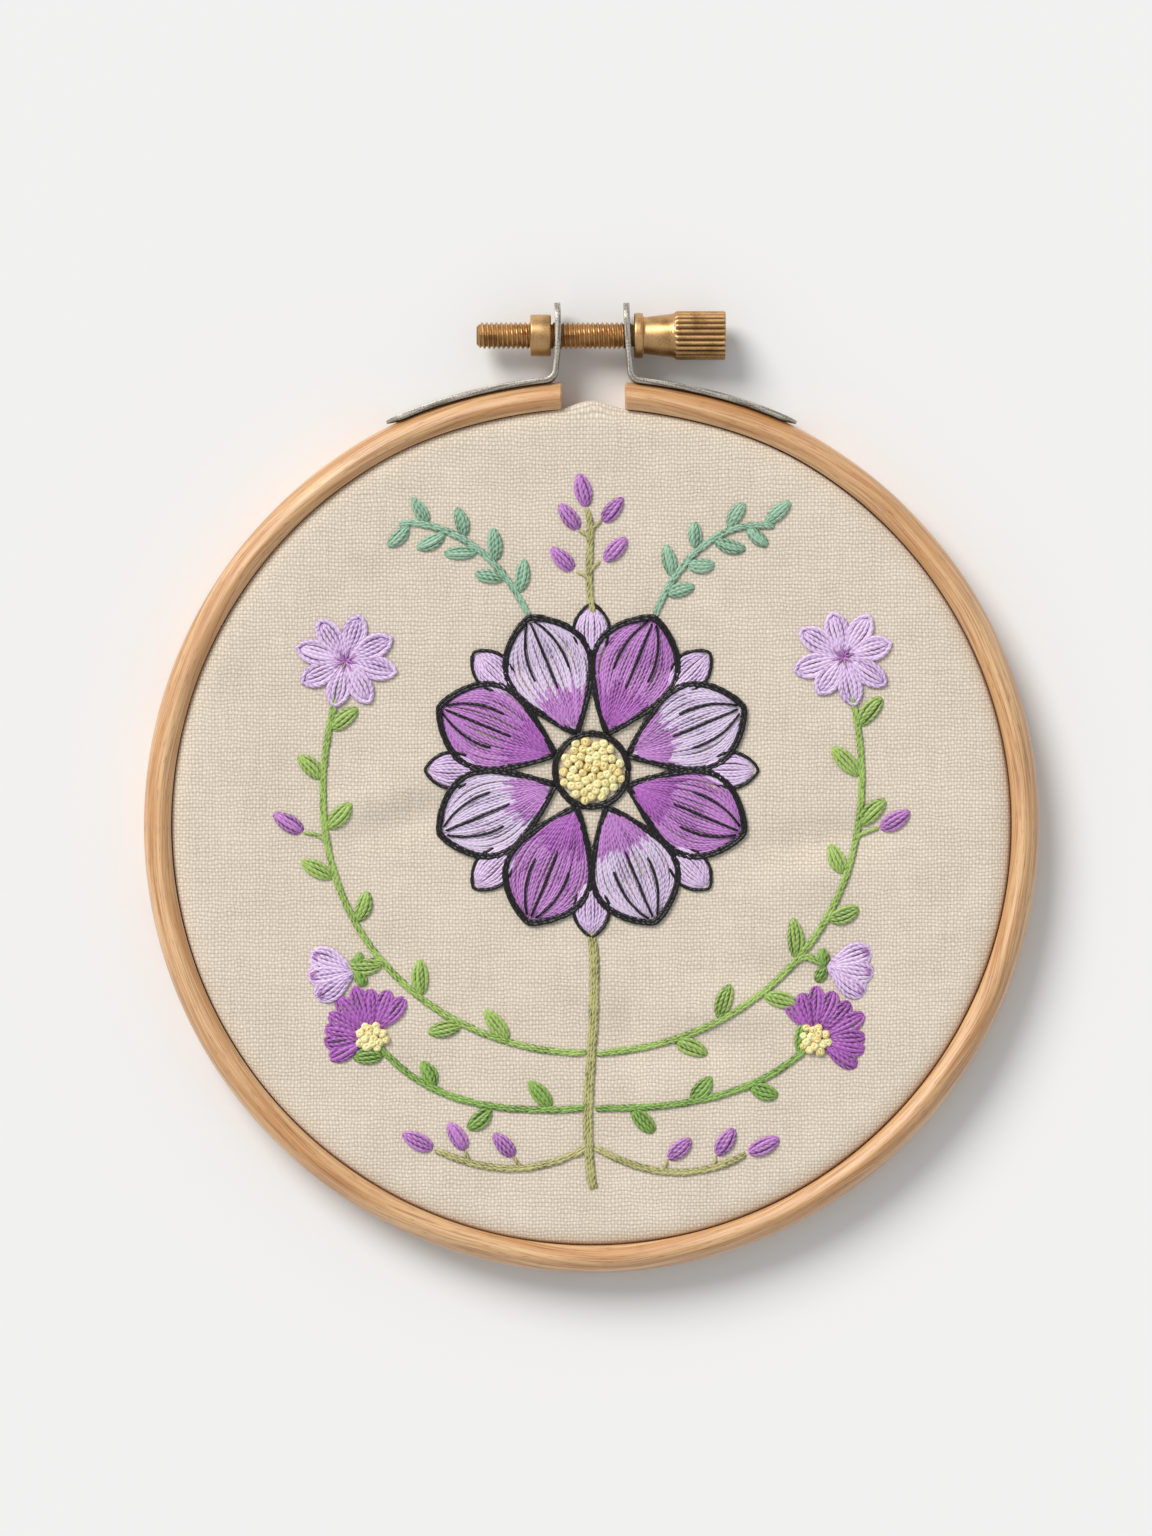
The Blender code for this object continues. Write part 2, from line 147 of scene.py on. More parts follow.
class StitchSizes(PropertyGroup):
    """Sizes of the stitches."""

    satin: length("Satin strand", "Width of a strand in a satin filling", 0.46)
    leaf: length("Leaf strand", "Width of a strand in a leaf or a small petal", 0.62)
    stem: length("Stem strand", "Width of a strand in a stem", 0.52)
    outline: length("Outline strand", "Width of a strand in a black outline", 0.54)
    knot: length("Knot strand", "Width of the strand in a French knot", 0.6)
    stem_stitch: length("Stem stitch", "Length of one stem stitch", 3.0)
    lay: length("Lay", "From one ply to the next along a strand", 0.85)
    seed: IntProperty(name="Seed", description="Which hand stitched it", default=7, min=0)


class Finishes(PropertyGroup):
    """Colours of the materials."""

    # The linen's two colours are painted light on the threads' crowns and painted shade in the gaps between
    # them, and also the ends of the cloth's random tone
    linen_light: colour("Linen light", "Crowns of the linen's threads", "#F8EBD9")
    linen_dark: colour("Linen dark", "Gaps between the linen's threads", "#AB9C88")
    beech_light: colour("Beech light", "Palest grain of the beech", "#E8BA84")
    beech_mid: colour("Beech middle", "Most of the beech", "#D09659")
    beech_dark: colour("Beech dark", "Darkest grain lines of the beech", "#8C4A1A")
    brass: colour("Brass", "Turned brass", "#E0B57F")
    brass_dull: colour("Dull brass", "Patina on the brass", "#A97E4C")
    # Recessed brass is a painted shade colour for the grooves of the grip and the thread
    brass_recess: colour("Recessed brass", "Grime between ridges and in the thread", "#533F2A")
    steel: colour("Steel", "Zinc plated steel", "#CDC7BC")
    steel_dull: colour("Dull steel", "Grit and scuffs on the steel", "#817A70")
    floor: colour("Floor", "The surface that the work lies on", "#F3F3F3")


class Threads(PropertyGroup):
    """Colours of the stranded cottons."""

    black: colour("Black", "Outlines", "#0E0A0C")
    deep_violet: colour("Deep violet", "Half daisies and the petals' feet", "#8B4B95")
    purple: colour("Purple", "Every other petal, and buds", "#9C64A5")
    mid_lilac: colour("Middle lilac", "Small flowers", "#C4A4D2")
    pale_lilac: colour("Pale lilac", "The other petals", "#BBA6C8")
    fresh_green: colour("Fresh green", "Vines", "#7F9A4C")
    leaf_green: colour("Leaf green", "Side stems and sepals", "#6A8B3F")
    sage: colour("Sage", "Sprigs above the flower", "#76997F")
    olive: colour("Olive", "Main stem and twigs", "#94905C")
    pale_yellow: colour("Pale yellow", "Knots", "#F0D98F")


class HoopArtSettings(PropertyGroup):
    """Every setting of the embroidered picture."""

    hoop: PointerProperty(type=HoopSizes)
    cloth: PointerProperty(type=ClothSizes)
    clamp: PointerProperty(type=ClampSizes)
    stitch: PointerProperty(type=StitchSizes)
    finish: PointerProperty(type=Finishes)
    threads: PointerProperty(type=Threads)


# Soft troughs and ridges in the cloth, in millimetres from its centre
Ripple = namedtuple("Ripple", "x y half_length half_width turn_deg height")
RIPPLES = (
    Ripple(34.6, -1.9, 9.5, 2.8, 7, -0.73),
    Ripple(33.9, -7.4, 9.5, 3.6, 2, 0.63),
    Ripple(-7.5, 23.3, 7.5, 3.0, -5, -0.53),
    Ripple(9.2, 22.2, 7.0, 3.0, -5, -0.63),
    Ripple(0.5, 16.7, 13.0, 4.0, 0, 0.59),
    Ripple(-29.3, 4.4, 9.5, 3.0, 18, 0.42),
    Ripple(-27.8, 0.3, 9.5, 2.8, 18, -0.53),
    Ripple(5.3, -29.7, 7.5, 2.8, 90, -0.46),
    Ripple(16.5, -32.0, 8.5, 3.5, 3, -0.53),
    Ripple(21.6, -26.6, 8.0, 3.5, -5, 0.53),
    Ripple(31.0, -22.0, 8.0, 3.0, -12, -0.59),
)
RIPPLE_FADE = 47.0
RIPPLE_END = 56.0


def settings():
    return bpy.context.scene.hoop_art


def mm(value):
    """A stored length in millimetres."""
    return value / MM


def ripple_height(x, y):
    """The sum of one stretched bell curve for each ripple, faded out before the inner hoop."""
    total = np.zeros_like(x)
    for ripple in RIPPLES:
        turn = math.radians(ripple.turn_deg)
        dx, dy = x - ripple.x, y - ripple.y
        along = (dx * math.cos(turn) + dy * math.sin(turn)) / ripple.half_length
        across = (dy * math.cos(turn) - dx * math.sin(turn)) / ripple.half_width
        total += ripple.height * np.exp(-(along**2) - across**2)
    return total * np.clip((RIPPLE_END - np.hypot(x, y)) / (RIPPLE_END - RIPPLE_FADE), 0, 1)


def cloth_height(x, y):
    """Height of the linen's front: its flat level and its ripples."""
    return HOOP_DEPTH - mm(settings().cloth.below_front) + ripple_height(x, y)


def squeezed(angle):
    """The factor by which the clamp draws the ring in: a smooth step from 30 to 10 degrees off the split."""
    off_split = np.degrees(np.minimum(np.abs(angle), TURN - np.abs(angle)))
    share = np.clip((30 - off_split) / 20, 0, 1)
    return 1 - mm(settings().hoop.squeeze) / HOOP_RADIUS * share**2 * (3 - 2 * share)


# Meshes


def make_mesh(name, points, uv, wrap_rows=False, wrap_cols=False, caps=False):
    """Grids of points as one mesh: points is (grids, rows, columns, 3) and uv has one more row or column
    where that side wraps round. Caps close the first and the last row."""
    grids, rows, cols, _ = points.shape
    row, col = np.meshgrid(np.arange(rows - 1 + wrap_rows), np.arange(cols - 1 + wrap_cols), indexing="ij")
    row_ends = np.stack([row, row + 1, row + 1, row], -1).reshape(-1, 4)
    col_ends = np.stack([col, col, col + 1, col + 1], -1).reshape(-1, 4)
    first = np.arange(grids)[:, None, None]
    quads = (first * rows + row_ends % rows) * cols + col_ends % cols
    uv_rows, uv_cols = uv.shape[1:3]
    quad_uv = uv.reshape(-1, 2)[(first * uv_rows + row_ends) * uv_cols + col_ends]
    corners = [quads.reshape(-1)]
    sizes = [np.full(quads.size // 4, 4)]
    corner_uv = [quad_uv.reshape(-1, 2)]
    if caps:
        for end in (0, rows - 1):
            order = np.arange(cols) if end == 0 else np.arange(cols)[::-1]
            ring = (np.arange(grids)[:, None] * rows + end) * cols + order
            corners.append(ring.reshape(-1))
            sizes.append(np.full(grids, cols))
            corner_uv.append(uv[:, end][:, order].reshape(-1, 2))
    corners, sizes, corner_uv = (np.concatenate(part) for part in (corners, sizes, corner_uv))
    flat = points.reshape(-1, 3)
    starts = np.concatenate([[0], np.cumsum(sizes)[:-1]])
    if enclosed(flat, quads.reshape(-1, 4)) < 0:
        turn = np.repeat(2 * starts + sizes - 1, sizes) - np.arange(len(corners))
        corners, corner_uv = corners[turn], corner_uv[turn]
    mesh = bpy.data.meshes.new(name)
    mesh.vertices.add(len(flat))
    placed = (flat + [0, CENTRE_Y, 0]) * MM
    mesh.vertices.foreach_set("co", placed.astype(np.float32).reshape(-1))
    mesh.loops.add(len(corners))
    mesh.loops.foreach_set("vertex_index", corners.astype(np.int32))
    mesh.polygons.add(len(sizes))
    mesh.polygons.foreach_set("loop_start", starts.astype(np.int32))
    layer = mesh.uv_layers.new(name="UVMap")
    layer.data.foreach_set("uv", (corner_uv * MM).astype(np.float32).reshape(-1))
    mesh.update(calc_edges=True)
    mesh.shade_smooth()
    mesh.set_sharp_from_angle(angle=math.radians(40))
    return mesh


def enclosed(points, quads):
    """Six times the volume inside the quads, which is negative where they face inwards."""
    a, b, c, d = (points[quads[:, i]] - points.mean(0) for i in range(4))
    return float((a * np.cross(b, c)).sum() + (a * np.cross(c, d)).sum())


def mark_points(mesh, name, values):
    """Keeps one number for each point of a mesh, for its material to read."""
    layer = mesh.attributes.new(name, "FLOAT", "POINT")
    layer.data.foreach_set("value", values.astype(np.float32).reshape(-1))


def grid_map(along, around):
    """The map of one grid, from its distances along the rows and round the columns."""
    u = np.repeat(along[:, None], len(around), 1)
    return np.stack([u, np.broadcast_to(around, u.shape)], -1)[None]


def about_centre(radius, angle, height):
    """One grid of points at radii, at angles clockwise from the picture's top, and at heights."""
    return np.stack([radius * np.sin(angle), radius * np.cos(angle), height], -1)[None]


def unit(heading):
    """A step of one millimetre at an angle from the picture's right."""
    return np.array([math.cos(heading), math.sin(heading)])


def add_object(name, data):
    """Adds an object to the scene."""
    added = bpy.data.objects.new(name, data)
    bpy.context.scene.collection.objects.link(added)
    return added


def add_piece(mesh, material, body, slot, *nodes):
    """Adds a finished piece that rides on a body and may stand for CAD nodes."""
    piece = add_object(mesh.name, mesh)
    mesh.materials.append(material)
    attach(piece, body)
    if nodes:
        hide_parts(*nodes)
    return piece


def turned_about_screw(along, radius):
    """One grid of points at distances along the screw's axis and radii about it, with its map.

    Along is (rows) and radius is (rows, columns); the columns go once round.
    """
    columns = radius.shape[1]
    around = TURN * np.arange(columns) / columns
    y = SCREW_Y + radius * np.sin(around)
    z = SCREW_Z + radius * np.cos(around)
    points = np.stack([np.repeat(along[:, None], columns, 1), y, z], -1)[None]
    return points, grid_map(along, np.linspace(0, TURN * radius.mean(), columns + 1))


def round_corners(corners, radius, steps=4):
    """A profile with each inner corner rounded by a quadratic curve that starts a radius away from it."""
    points = [np.array(corners[0], float)]
    for before, corner, after in zip(corners, corners[1:], corners[2:]):
        before, corner, after = (np.array(p, float) for p in (before, corner, after))
        reach_in = min(radius, np.linalg.norm(before - corner) / 2)
        reach_out = min(radius, np.linalg.norm(after - corner) / 2)
        start = corner + (before - corner) / np.linalg.norm(before - corner) * reach_in
        end = corner + (after - corner) / np.linalg.norm(after - corner) * reach_out
        for t in np.linspace(0, 1, steps + 1):
            points.append((1 - t) ** 2 * start + 2 * t * (1 - t) * corner + t**2 * end)
    points.append(np.array(corners[-1], float))
    return np.array(points)


# Materials


def add_node(tree, kind, inputs=(), **choices):
    """Adds a node, makes its choices, sets or links its inputs, and gives its first live output.

    Inputs come in the order of the live sockets, or by name. A socket is linked, and a value is set.
    """
    node = tree.nodes.new("ShaderNode" + kind)
    for choice, value in choices.items():
        setattr(node, choice, value)
    live = [socket for socket in node.inputs if socket.enabled]
    if isinstance(inputs, dict):
        pairs = [(node.inputs[name], value) for name, value in inputs.items()]
    else:
        pairs = zip(live, inputs)
    for socket, value in pairs:
        if isinstance(value, bpy.types.NodeSocket):
            tree.links.new(value, socket)
        else:
            socket.default_value = value
    return next(output for output in node.outputs if output.enabled)


def start_material(name, **values):
    """A material with a Principled shader whose plain values are set on its own sockets."""
    material = bpy.data.materials.new(name)
    material.use_nodes = True
    shader = material.node_tree.nodes["Principled BSDF"]
    for socket, value in values.items():
        shader.inputs[socket.replace("_", " ")].default_value = value
    return material, material.node_tree, shader


def stretched_noises(tree, place, spans, detail=1.0):
    """One noise for each pair of spans, in millimetres along the map's two directions."""
    noises = []
    for along, across in spans:
        scale = (1 / along / MM, 1 / across / MM, 1)
        scaled = add_node(tree, "Mapping", {"Vector": place, "Scale": scale})
        noises.append(add_node(tree, "TexNoise", [scaled, 1.0, detail], noise_dimensions="2D"))
    return noises


def finish_surface(tree, shader, base, height, strength, depth, rough=None):
    """Links a colour, a relief with its strength and its depth in millimetres, and perhaps a roughness."""
    bump = add_node(tree, "Bump", {"Strength": strength, "Distance": depth * MM, "Height": height})
    tree.links.new(base, shader.inputs["Base Color"])
    tree.links.new(bump, shader.inputs["Normal"])
    if rough is not None:
        tree.links.new(rough, shader.inputs["Roughness"])


def material_of(name, make, *arguments):
    """The material of that name, made the first time that a piece asks for it."""
    return bpy.data.materials.get(name) or make(name, *arguments)


def make_linen(name):
    """Unbleached linen, plain woven: matt round threads over and under each other, uneven as hand spun.

    The threads' crowns are painted paler and the thin gaps between them get painted shade, which gives the
    fine checked grain.
    """
    finish, cloth = settings().finish, settings().cloth
    material, tree, shader = start_material(
        name, Roughness=0.88, Specular_IOR_Level=0.25, Sheen_Weight=0.12, Sheen_Roughness=0.5
    )
    place = add_node(tree, "UVMap", uv_map="UVMap")
    # Threads wander by up to half a pitch over 3 mm
    wander = add_node(tree, "TexNoise", [place, 1 / (3 * MM), 1.0], noise_dimensions="2D")
    wander = add_node(tree, "VectorMath", [wander.node.outputs["Color"], (1.2, 1.2, 0)], operation="MULTIPLY")
    per_metre = (1 / cloth.warp_pitch, 1 / cloth.weft_pitch, 0)
    count = add_node(tree, "VectorMath", [place, per_metre, wander], operation="MULTIPLY_ADD")
    turns = add_node(tree, "VectorMath", [count, (math.pi, math.pi, 0)], operation="MULTIPLY")
    wave = add_node(tree, "VectorMath", [turns], operation="SINE")
    # Each thread has a round back, with painted shade where it meets the next, and the crossings alternate in
    # tone
    size = add_node(tree, "VectorMath", [wave], operation="ABSOLUTE")
    backs = add_node(tree, "VectorMath", [size, (0.86, 0.6, 1)], operation="POWER")
    threads = add_node(tree, "VectorMath", [backs, (0.34, 0.48, 0)], operation="DOT_PRODUCT")
    warp, weft, _ = add_node(tree, "SeparateXYZ", [wave]).node.outputs
    crossing = add_node(tree, "Math", [warp, weft], operation="MULTIPLY")
    height = add_node(tree, "Math", [crossing, 0.15, threads], operation="MULTIPLY_ADD")
    # The threads' height sets the colour as well as the relief: painted light on their crowns and painted
    # shade in the gaps
    # Fibres, every few threads and every few centimetres of cloth have their own tone
    tone = add_node(tree, "Math", [height, 0.01], operation="ADD")
    streaks = stretched_noises(tree, place, ((0.22, 0.22), (0.5, 6.0), (6.0, 0.55), (9.0, 8.0)))
    for streak, weight in zip(streaks, (0.6, 0.2, 0.2, 0.15)):
        part = add_node(tree, "Math", [streak, weight, -weight / 2], operation="MULTIPLY_ADD")
        tone = add_node(tree, "Math", [tone, part], operation="ADD")
    base = add_node(
        tree, "Mix", [tone, finish.linen_dark, finish.linen_light], data_type="RGBA", clamp_factor=True
    )
    finish_surface(tree, shader, base, height, 0.45, 0.1)
    return material


def shaded_and_lit_tints(tint, deeper, paler):
    """A thread's deep and pale colour, the ends of its painted shade and painted highlight as well as of its
    random tone: its tint to a power, and what its tint lacks of white to a power.
    """
    deep_and_shaded = tuple(c**deeper for c in tint[:3]) + (1.0,)
    pale_and_lit = tuple(1 - (1 - c) ** paler for c in tint[:3]) + (1.0,)
    return deep_and_shaded, pale_and_lit


def make_floss(name, tint):
    """Mercerised stranded cotton: plies laid round each other, each of fine glossy fibres.

    Painted highlight makes the crowns of strand and ply paler than the tint, and painted shade makes their
    sides and the grooves between strands deeper.
    """
    material, tree, shader = start_material(
        name, Roughness=0.38, Specular_IOR_Level=0.45, Sheen_Weight=0.1, Sheen_Roughness=0.4
    )
    place = add_node(tree, "UVMap", uv_map="UVMap")
    # The map's second direction runs once round a strand, from 0 to 1 mm, with its crown at a half
    per_metre = (TURN / settings().stitch.lay, 2 * TURN / MM, 0)
    turns = add_node(tree, "VectorMath", [place, per_metre], operation="DOT_PRODUCT")
    # Each strand's random shade also shifts its plies, by up to 40 radians
    strand = add_node(tree, "Attribute", attribute_name="strand").node.outputs["Fac"]
    turns = add_node(tree, "Math", [strand, 40.0, turns], operation="MULTIPLY_ADD")
    ply = add_node(tree, "Math", [turns], operation="SINE")
    fibre = stretched_noises(tree, place, [(0.9, 0.09)])[0]
    # Painted light and shade: each strand is paler along its crown and darker down its sides, as if lit from
    # above
    half_turn = add_node(tree, "VectorMath", [place, (0, math.pi / MM, 0)], operation="DOT_PRODUCT")
    painted_crown_light = add_node(tree, "Math", [half_turn], operation="SINE")
    painted_crown_light = add_node(tree, "Math", [painted_crown_light, 4.0], operation="POWER")
    # The ply wave paints shade in the grooves between plies and a paler crown on each, along with the random
    # fibre and strand tone
    tone = add_node(tree, "Math", [ply, 0.3, -0.98], operation="MULTIPLY_ADD")
    for part, weight in ((fibre, 1.2), (strand, 0.7), (painted_crown_light, 1.1)):
        tone = add_node(tree, "Math", [part, weight, tone], operation="MULTIPLY_ADD")
    base = add_node(tree, "Mix", [tone, *shaded_and_lit_tints(tint, 2.1, 2.2)], data_type="RGBA", clamp_factor=True)
    relief = add_node(tree, "Math", [ply, 0.7, fibre], operation="MULTIPLY_ADD")
    finish_surface(tree, shader, base, relief, 0.7, 0.06)
    return material


def make_beech(name):
    """Steam bent beech, sanded and thinly varnished: fine grain along the ring with short dark flecks.

    The varnish gives a broad soft highlight on the slopes that face the window.
    """
    finish = settings().finish
    material, tree, shader = start_material(
        name, Roughness=0.58, Specular_IOR_Level=0.6, Coat_Weight=1.0, Coat_Roughness=0.45, Coat_IOR=1.6
    )
    place = add_node(tree, "UVMap", uv_map="UVMap")
    # Grain lines drift over the edge by a millimetre or two every few centimetres
    drift = stretched_noises(tree, place, [(38, 30)])[0]
    drift = add_node(tree, "CombineXYZ", [0.0, drift])
    place = add_node(tree, "VectorMath", [drift, (0, 4 * MM, 0), place], operation="MULTIPLY_ADD")
    broad, fine, short = stretched_noises(tree, place, ((30.0, 1.3), (12.0, 0.2), (2.6, 0.2)), 2.0)
    band = add_node(tree, "MapRange", [broad, 0.36, 0.62, 0.0, 1.0])
    line = add_node(tree, "MapRange", [fine, 0.54, 0.28, 0.0, 0.6])
    fleck = add_node(tree, "MapRange", [short, 0.62, 0.76, 0.0, 0.55])
    base = add_node(tree, "Mix", [band, finish.beech_mid, finish.beech_light], data_type="RGBA")
    base = add_node(tree, "Mix", [line, base, finish.beech_dark], data_type="RGBA")
    base = add_node(tree, "Mix", [fleck, base, finish.beech_dark], data_type="RGBA")
    relief = add_node(tree, "Math", [fine, fleck], operation="SUBTRACT")
    finish_surface(tree, shader, base, relief, 0.4, 0.04)
    return material


def make_brass(name):
    """Turned brass, a little dulled: rings from the tool, fine grit, a faint patina, and painted shade
    darkening its recesses.
    """
    finish = settings().finish
    material, tree, shader = start_material(name, Metallic=1.0)
    place = add_node(tree, "UVMap", uv_map="UVMap")
    rings, grit, patina = stretched_noises(tree, place, ((0.14, 9.0), (0.16, 0.16), (2.6, 3.0)))
    dull = add_node(tree, "Math", [grit, patina], operation="MULTIPLY")
    share = add_node(tree, "MapRange", [dull, 0.08, 0.3, 0.0, 1.0])
    base = add_node(tree, "Mix", [share, finish.brass_dull, finish.brass], data_type="RGBA")
    # Painted shade: the grooves of the grip and the thread are darkened toward the recessed colour, where
    # shade falls; they are rougher there too
    recess = add_node(tree, "Attribute", attribute_name="recess").node.outputs["Fac"]
    painted_recess_shade = add_node(tree, "Math", [recess, 0.8], operation="MULTIPLY")
    base = add_node(tree, "Mix", [painted_recess_shade, base, finish.brass_recess], data_type="RGBA")
    rough = add_node(tree, "MapRange", [patina, 0.3, 0.7, 0.3, 0.44])
    rough = add_node(tree, "Math", [recess, 0.6, rough], operation="MULTIPLY_ADD", use_clamp=True)
    relief = add_node(tree, "Math", [rings, grit], operation="ADD")
    finish_surface(tree, shader, base, relief, 0.3, 0.015, rough)
    return material


def make_steel(name):
    """Zinc plated steel strip: pale grey with lines along it from the rolls, and fine grit all over."""
    finish = settings().finish
    material, tree, shader = start_material(name, Metallic=1.0)
    place = add_node(tree, "UVMap", uv_map="UVMap")
    grit, lines = stretched_noises(tree, place, ((0.2, 0.2), (5.0, 0.22)))
    both = add_node(tree, "Math", [grit, lines], operation="MULTIPLY")
    share = add_node(tree, "MapRange", [both, 0.14, 0.34, 0.0, 1.0])
    base = add_node(tree, "Mix", [share, finish.steel_dull, finish.steel], data_type="RGBA")
    rough = add_node(tree, "MapRange", [lines, 0.3, 0.7, 0.42, 0.56])
    finish_surface(tree, shader, base, grit, 0.35, 0.03, rough)
    return material


BEECH = ("varnished beech", make_beech)
LINEN = ("plain woven linen", make_linen)
BRASS = ("turned brass", make_brass)
STEEL = ("zinc plated steel", make_steel)


# Hoops

RING_STEPS = 361
TOUCH_GAP = 0.05


def hoop_section(inside, ridge, outside, top, inner_fall, outer_fall, back_round):
    """A hoop's section as (radius, height) points: a rounded front, straight sides and a flat back.

    The front is a quarter of a flattened ellipse on either side of its ridge, each with its own width and
    fall: the cosine and the sine of the angle to the power 1.2, which leaves a soft crease at the ridge.
    """
    t = np.linspace(0, math.pi, 33)
    outward = np.cos(t) > 0
    across, up = np.sign(np.cos(t)) * np.abs(np.cos(t)) ** 1.2, np.clip(np.sin(t), 0, 1) ** 1.2
    radius = ridge + np.where(outward, outside - ridge, ridge - inside) * across
    height = top - np.where(outward, outer_fall, inner_fall) * (1 - up)
    back = []
    for centre, start in ((inside + back_round, math.pi), (outside - back_round, 1.5 * math.pi)):
        a = np.linspace(start, start + math.pi / 2, 5)
        back.append(np.stack([centre + back_round * np.cos(a), back_round * (1 + np.sin(a))], -1))
    inner_side = np.linspace(top - inner_fall, back_round, 6)[1:-1]
    outer_side = np.linspace(back_round, top - outer_fall, 6)[1:-1]
    sides = [np.stack([np.full(4, x), side], -1) for x, side in ((inside, inner_side), (outside, outer_side))]
    return np.concatenate([np.stack([radius, height], -1), sides[0], *back, sides[1]])


def section_distances(section):
    """Distances round a closed section, with its whole length as the last."""
    steps = np.linalg.norm(np.diff(np.vstack([section, section[:1]]), axis=0), axis=1)
    return np.concatenate([[0], np.cumsum(steps)])


class HOOPART_OT_outer_hoop(Operator):
    """The split ring: a rounded section carried round the circle, cut square at the split"""

    bl_idname = "hoopart.outer_hoop"
    bl_label = "Outer hoop"

    def execute(self, context):
        sizes = settings().hoop
        outside = mm(sizes.radius)
        inside = outside - mm(sizes.wall)
        section = hoop_section(
            inside,
            inside + mm(sizes.ridge),
            outside,
            mm(sizes.depth),
            mm(sizes.inner_fall),
            mm(sizes.outer_fall),
            mm(sizes.back_round),
        )
        near = section[:, 0] * squeezed(0)
        start = np.arcsin(mm(sizes.split_right) / near)
        end = TURN - np.arcsin(mm(sizes.split_left) / near)
        # The cut's edges are broken by a quarter of a millimetre
        edge = 0.25
        share = np.linspace(0, 1, RING_STEPS)
        share[1], share[-2] = edge / (TURN * outside), 1 - edge / (TURN * outside)
        share = share[:, None]
        angle = start + (end - start) * share
        middle = np.array([(inside + outside) / 2, mm(sizes.depth) / 2])
        shrunk = [1 - 2 * edge / mm(sizes.wall), 1 - 2 * edge / mm(sizes.depth)]
        at_end = ((share == 0) | (share == 1))[..., None]
        shaped = middle + (section - middle) * np.where(at_end, shrunk, [1.0, 1.0])
        points = about_centre(shaped[..., 0] * squeezed(angle), angle, shaped[..., 1])
        uv = grid_map(share[:, 0] * TURN * outside, section_distances(section))
        mesh = make_mesh("outer_hoop_beech", points, uv, wrap_cols=True, caps=True)
        add_piece(mesh, material_of(*BEECH), "hoop", "beech", "outer_hoop")
        return {"FINISHED"}


class HOOPART_OT_inner_hoop(Operator):
    """The closed ring inside the cloth: a plain section with small rounds carried round the circle"""

    bl_idname = "hoopart.inner_hoop"
    bl_label = "Inner hoop"

    def execute(self, context):
        sizes, cloth = settings().hoop, settings().cloth
        outside = cloth_wall_radius() - mm(cloth.thickness) - TOUCH_GAP
        inside = outside - mm(sizes.wall)
        top = HOOP_DEPTH - mm(cloth.below_front) - mm(cloth.thickness) - TOUCH_GAP
        inner_fall = 0.4
        section = hoop_section(
            inside,
            outside - mm(cloth.bend_width),
            outside,
            top,
            inner_fall,
            mm(cloth.bend_fall),
            mm(sizes.back_round),
        )
        angle = np.linspace(0, TURN, RING_STEPS)[:-1, None]
        radius = section[:, 0] * squeezed(angle) - off_middle(angle)
        points = about_centre(radius, angle, np.broadcast_to(section[:, 1], radius.shape))
        # Its map lies 40 mm from the outer hoop's, so that their grain differs
        uv = grid_map(np.linspace(0, TURN * outside, RING_STEPS), section_distances(section) + 40)
        mesh = make_mesh("inner_hoop_beech", points, uv, wrap_rows=True, wrap_cols=True)
        add_piece(mesh, material_of(*BEECH), "hoop", "beech", "inner_hoop")
        return {"FINISHED"}


# Linen

# The map's middle for the front of the cloth and for its back, in millimetres
MAP_MIDDLE = 150
BACK_MIDDLE = 450


def cloth_wall_radius():
    """Outer radius of the cloth at the end of its bend."""
    return HOOP_RADIUS - mm(settings().hoop.wall) - mm(settings().cloth.gap)


def off_middle(angle):
    """How far in the cloth's edge sits at an angle: most at the lower right, where its groove is widest."""
    return mm(settings().cloth.aside) * np.cos(angle - math.radians(135))


def cloth_line(inset):
    """A line from the middle of the linen over its bend to its edge, as (radius, height, distance) rows.

    The bend is a quarter of an ellipse. The inset is how far the line lies under the front face, and the
    distance is measured on the front.
    """
    cloth = settings().cloth
    wide, fall = mm(cloth.bend_width), mm(cloth.bend_fall)
    flat_end = cloth_wall_radius() - wide
    top = HOOP_DEPTH - mm(cloth.below_front)
    turn = np.linspace(0, math.pi / 2, 13)[1:]
    bend = np.stack([flat_end + wide * np.sin(turn), top - fall * (1 - np.cos(turn))], -1)
    outward = np.stack([np.sin(turn) / wide, np.cos(turn) / fall], -1)
    outward /= np.linalg.norm(outward, axis=1)[:, None]
    steps = np.linalg.norm(np.diff(np.vstack([[flat_end, top], bend]), axis=0), axis=1)
    bend_distance = flat_end + np.cumsum(steps)
    down = np.linspace(0, mm(cloth.cut_radius) - bend_distance[-1], 9)[1:]
    radius = np.concatenate([[0.6], np.linspace(0, flat_end, 90)[1:]])
    flat = np.stack([radius, np.full_like(radius, top - inset), radius], -1)
    over = np.column_stack([bend - inset * outward, bend_distance])
    level = np.full_like(down, bend[-1, 0] - inset)
    wall = np.stack([level, bend[-1, 1] - down, bend_distance[-1] + down], -1)
    return np.concatenate([flat, over, wall])


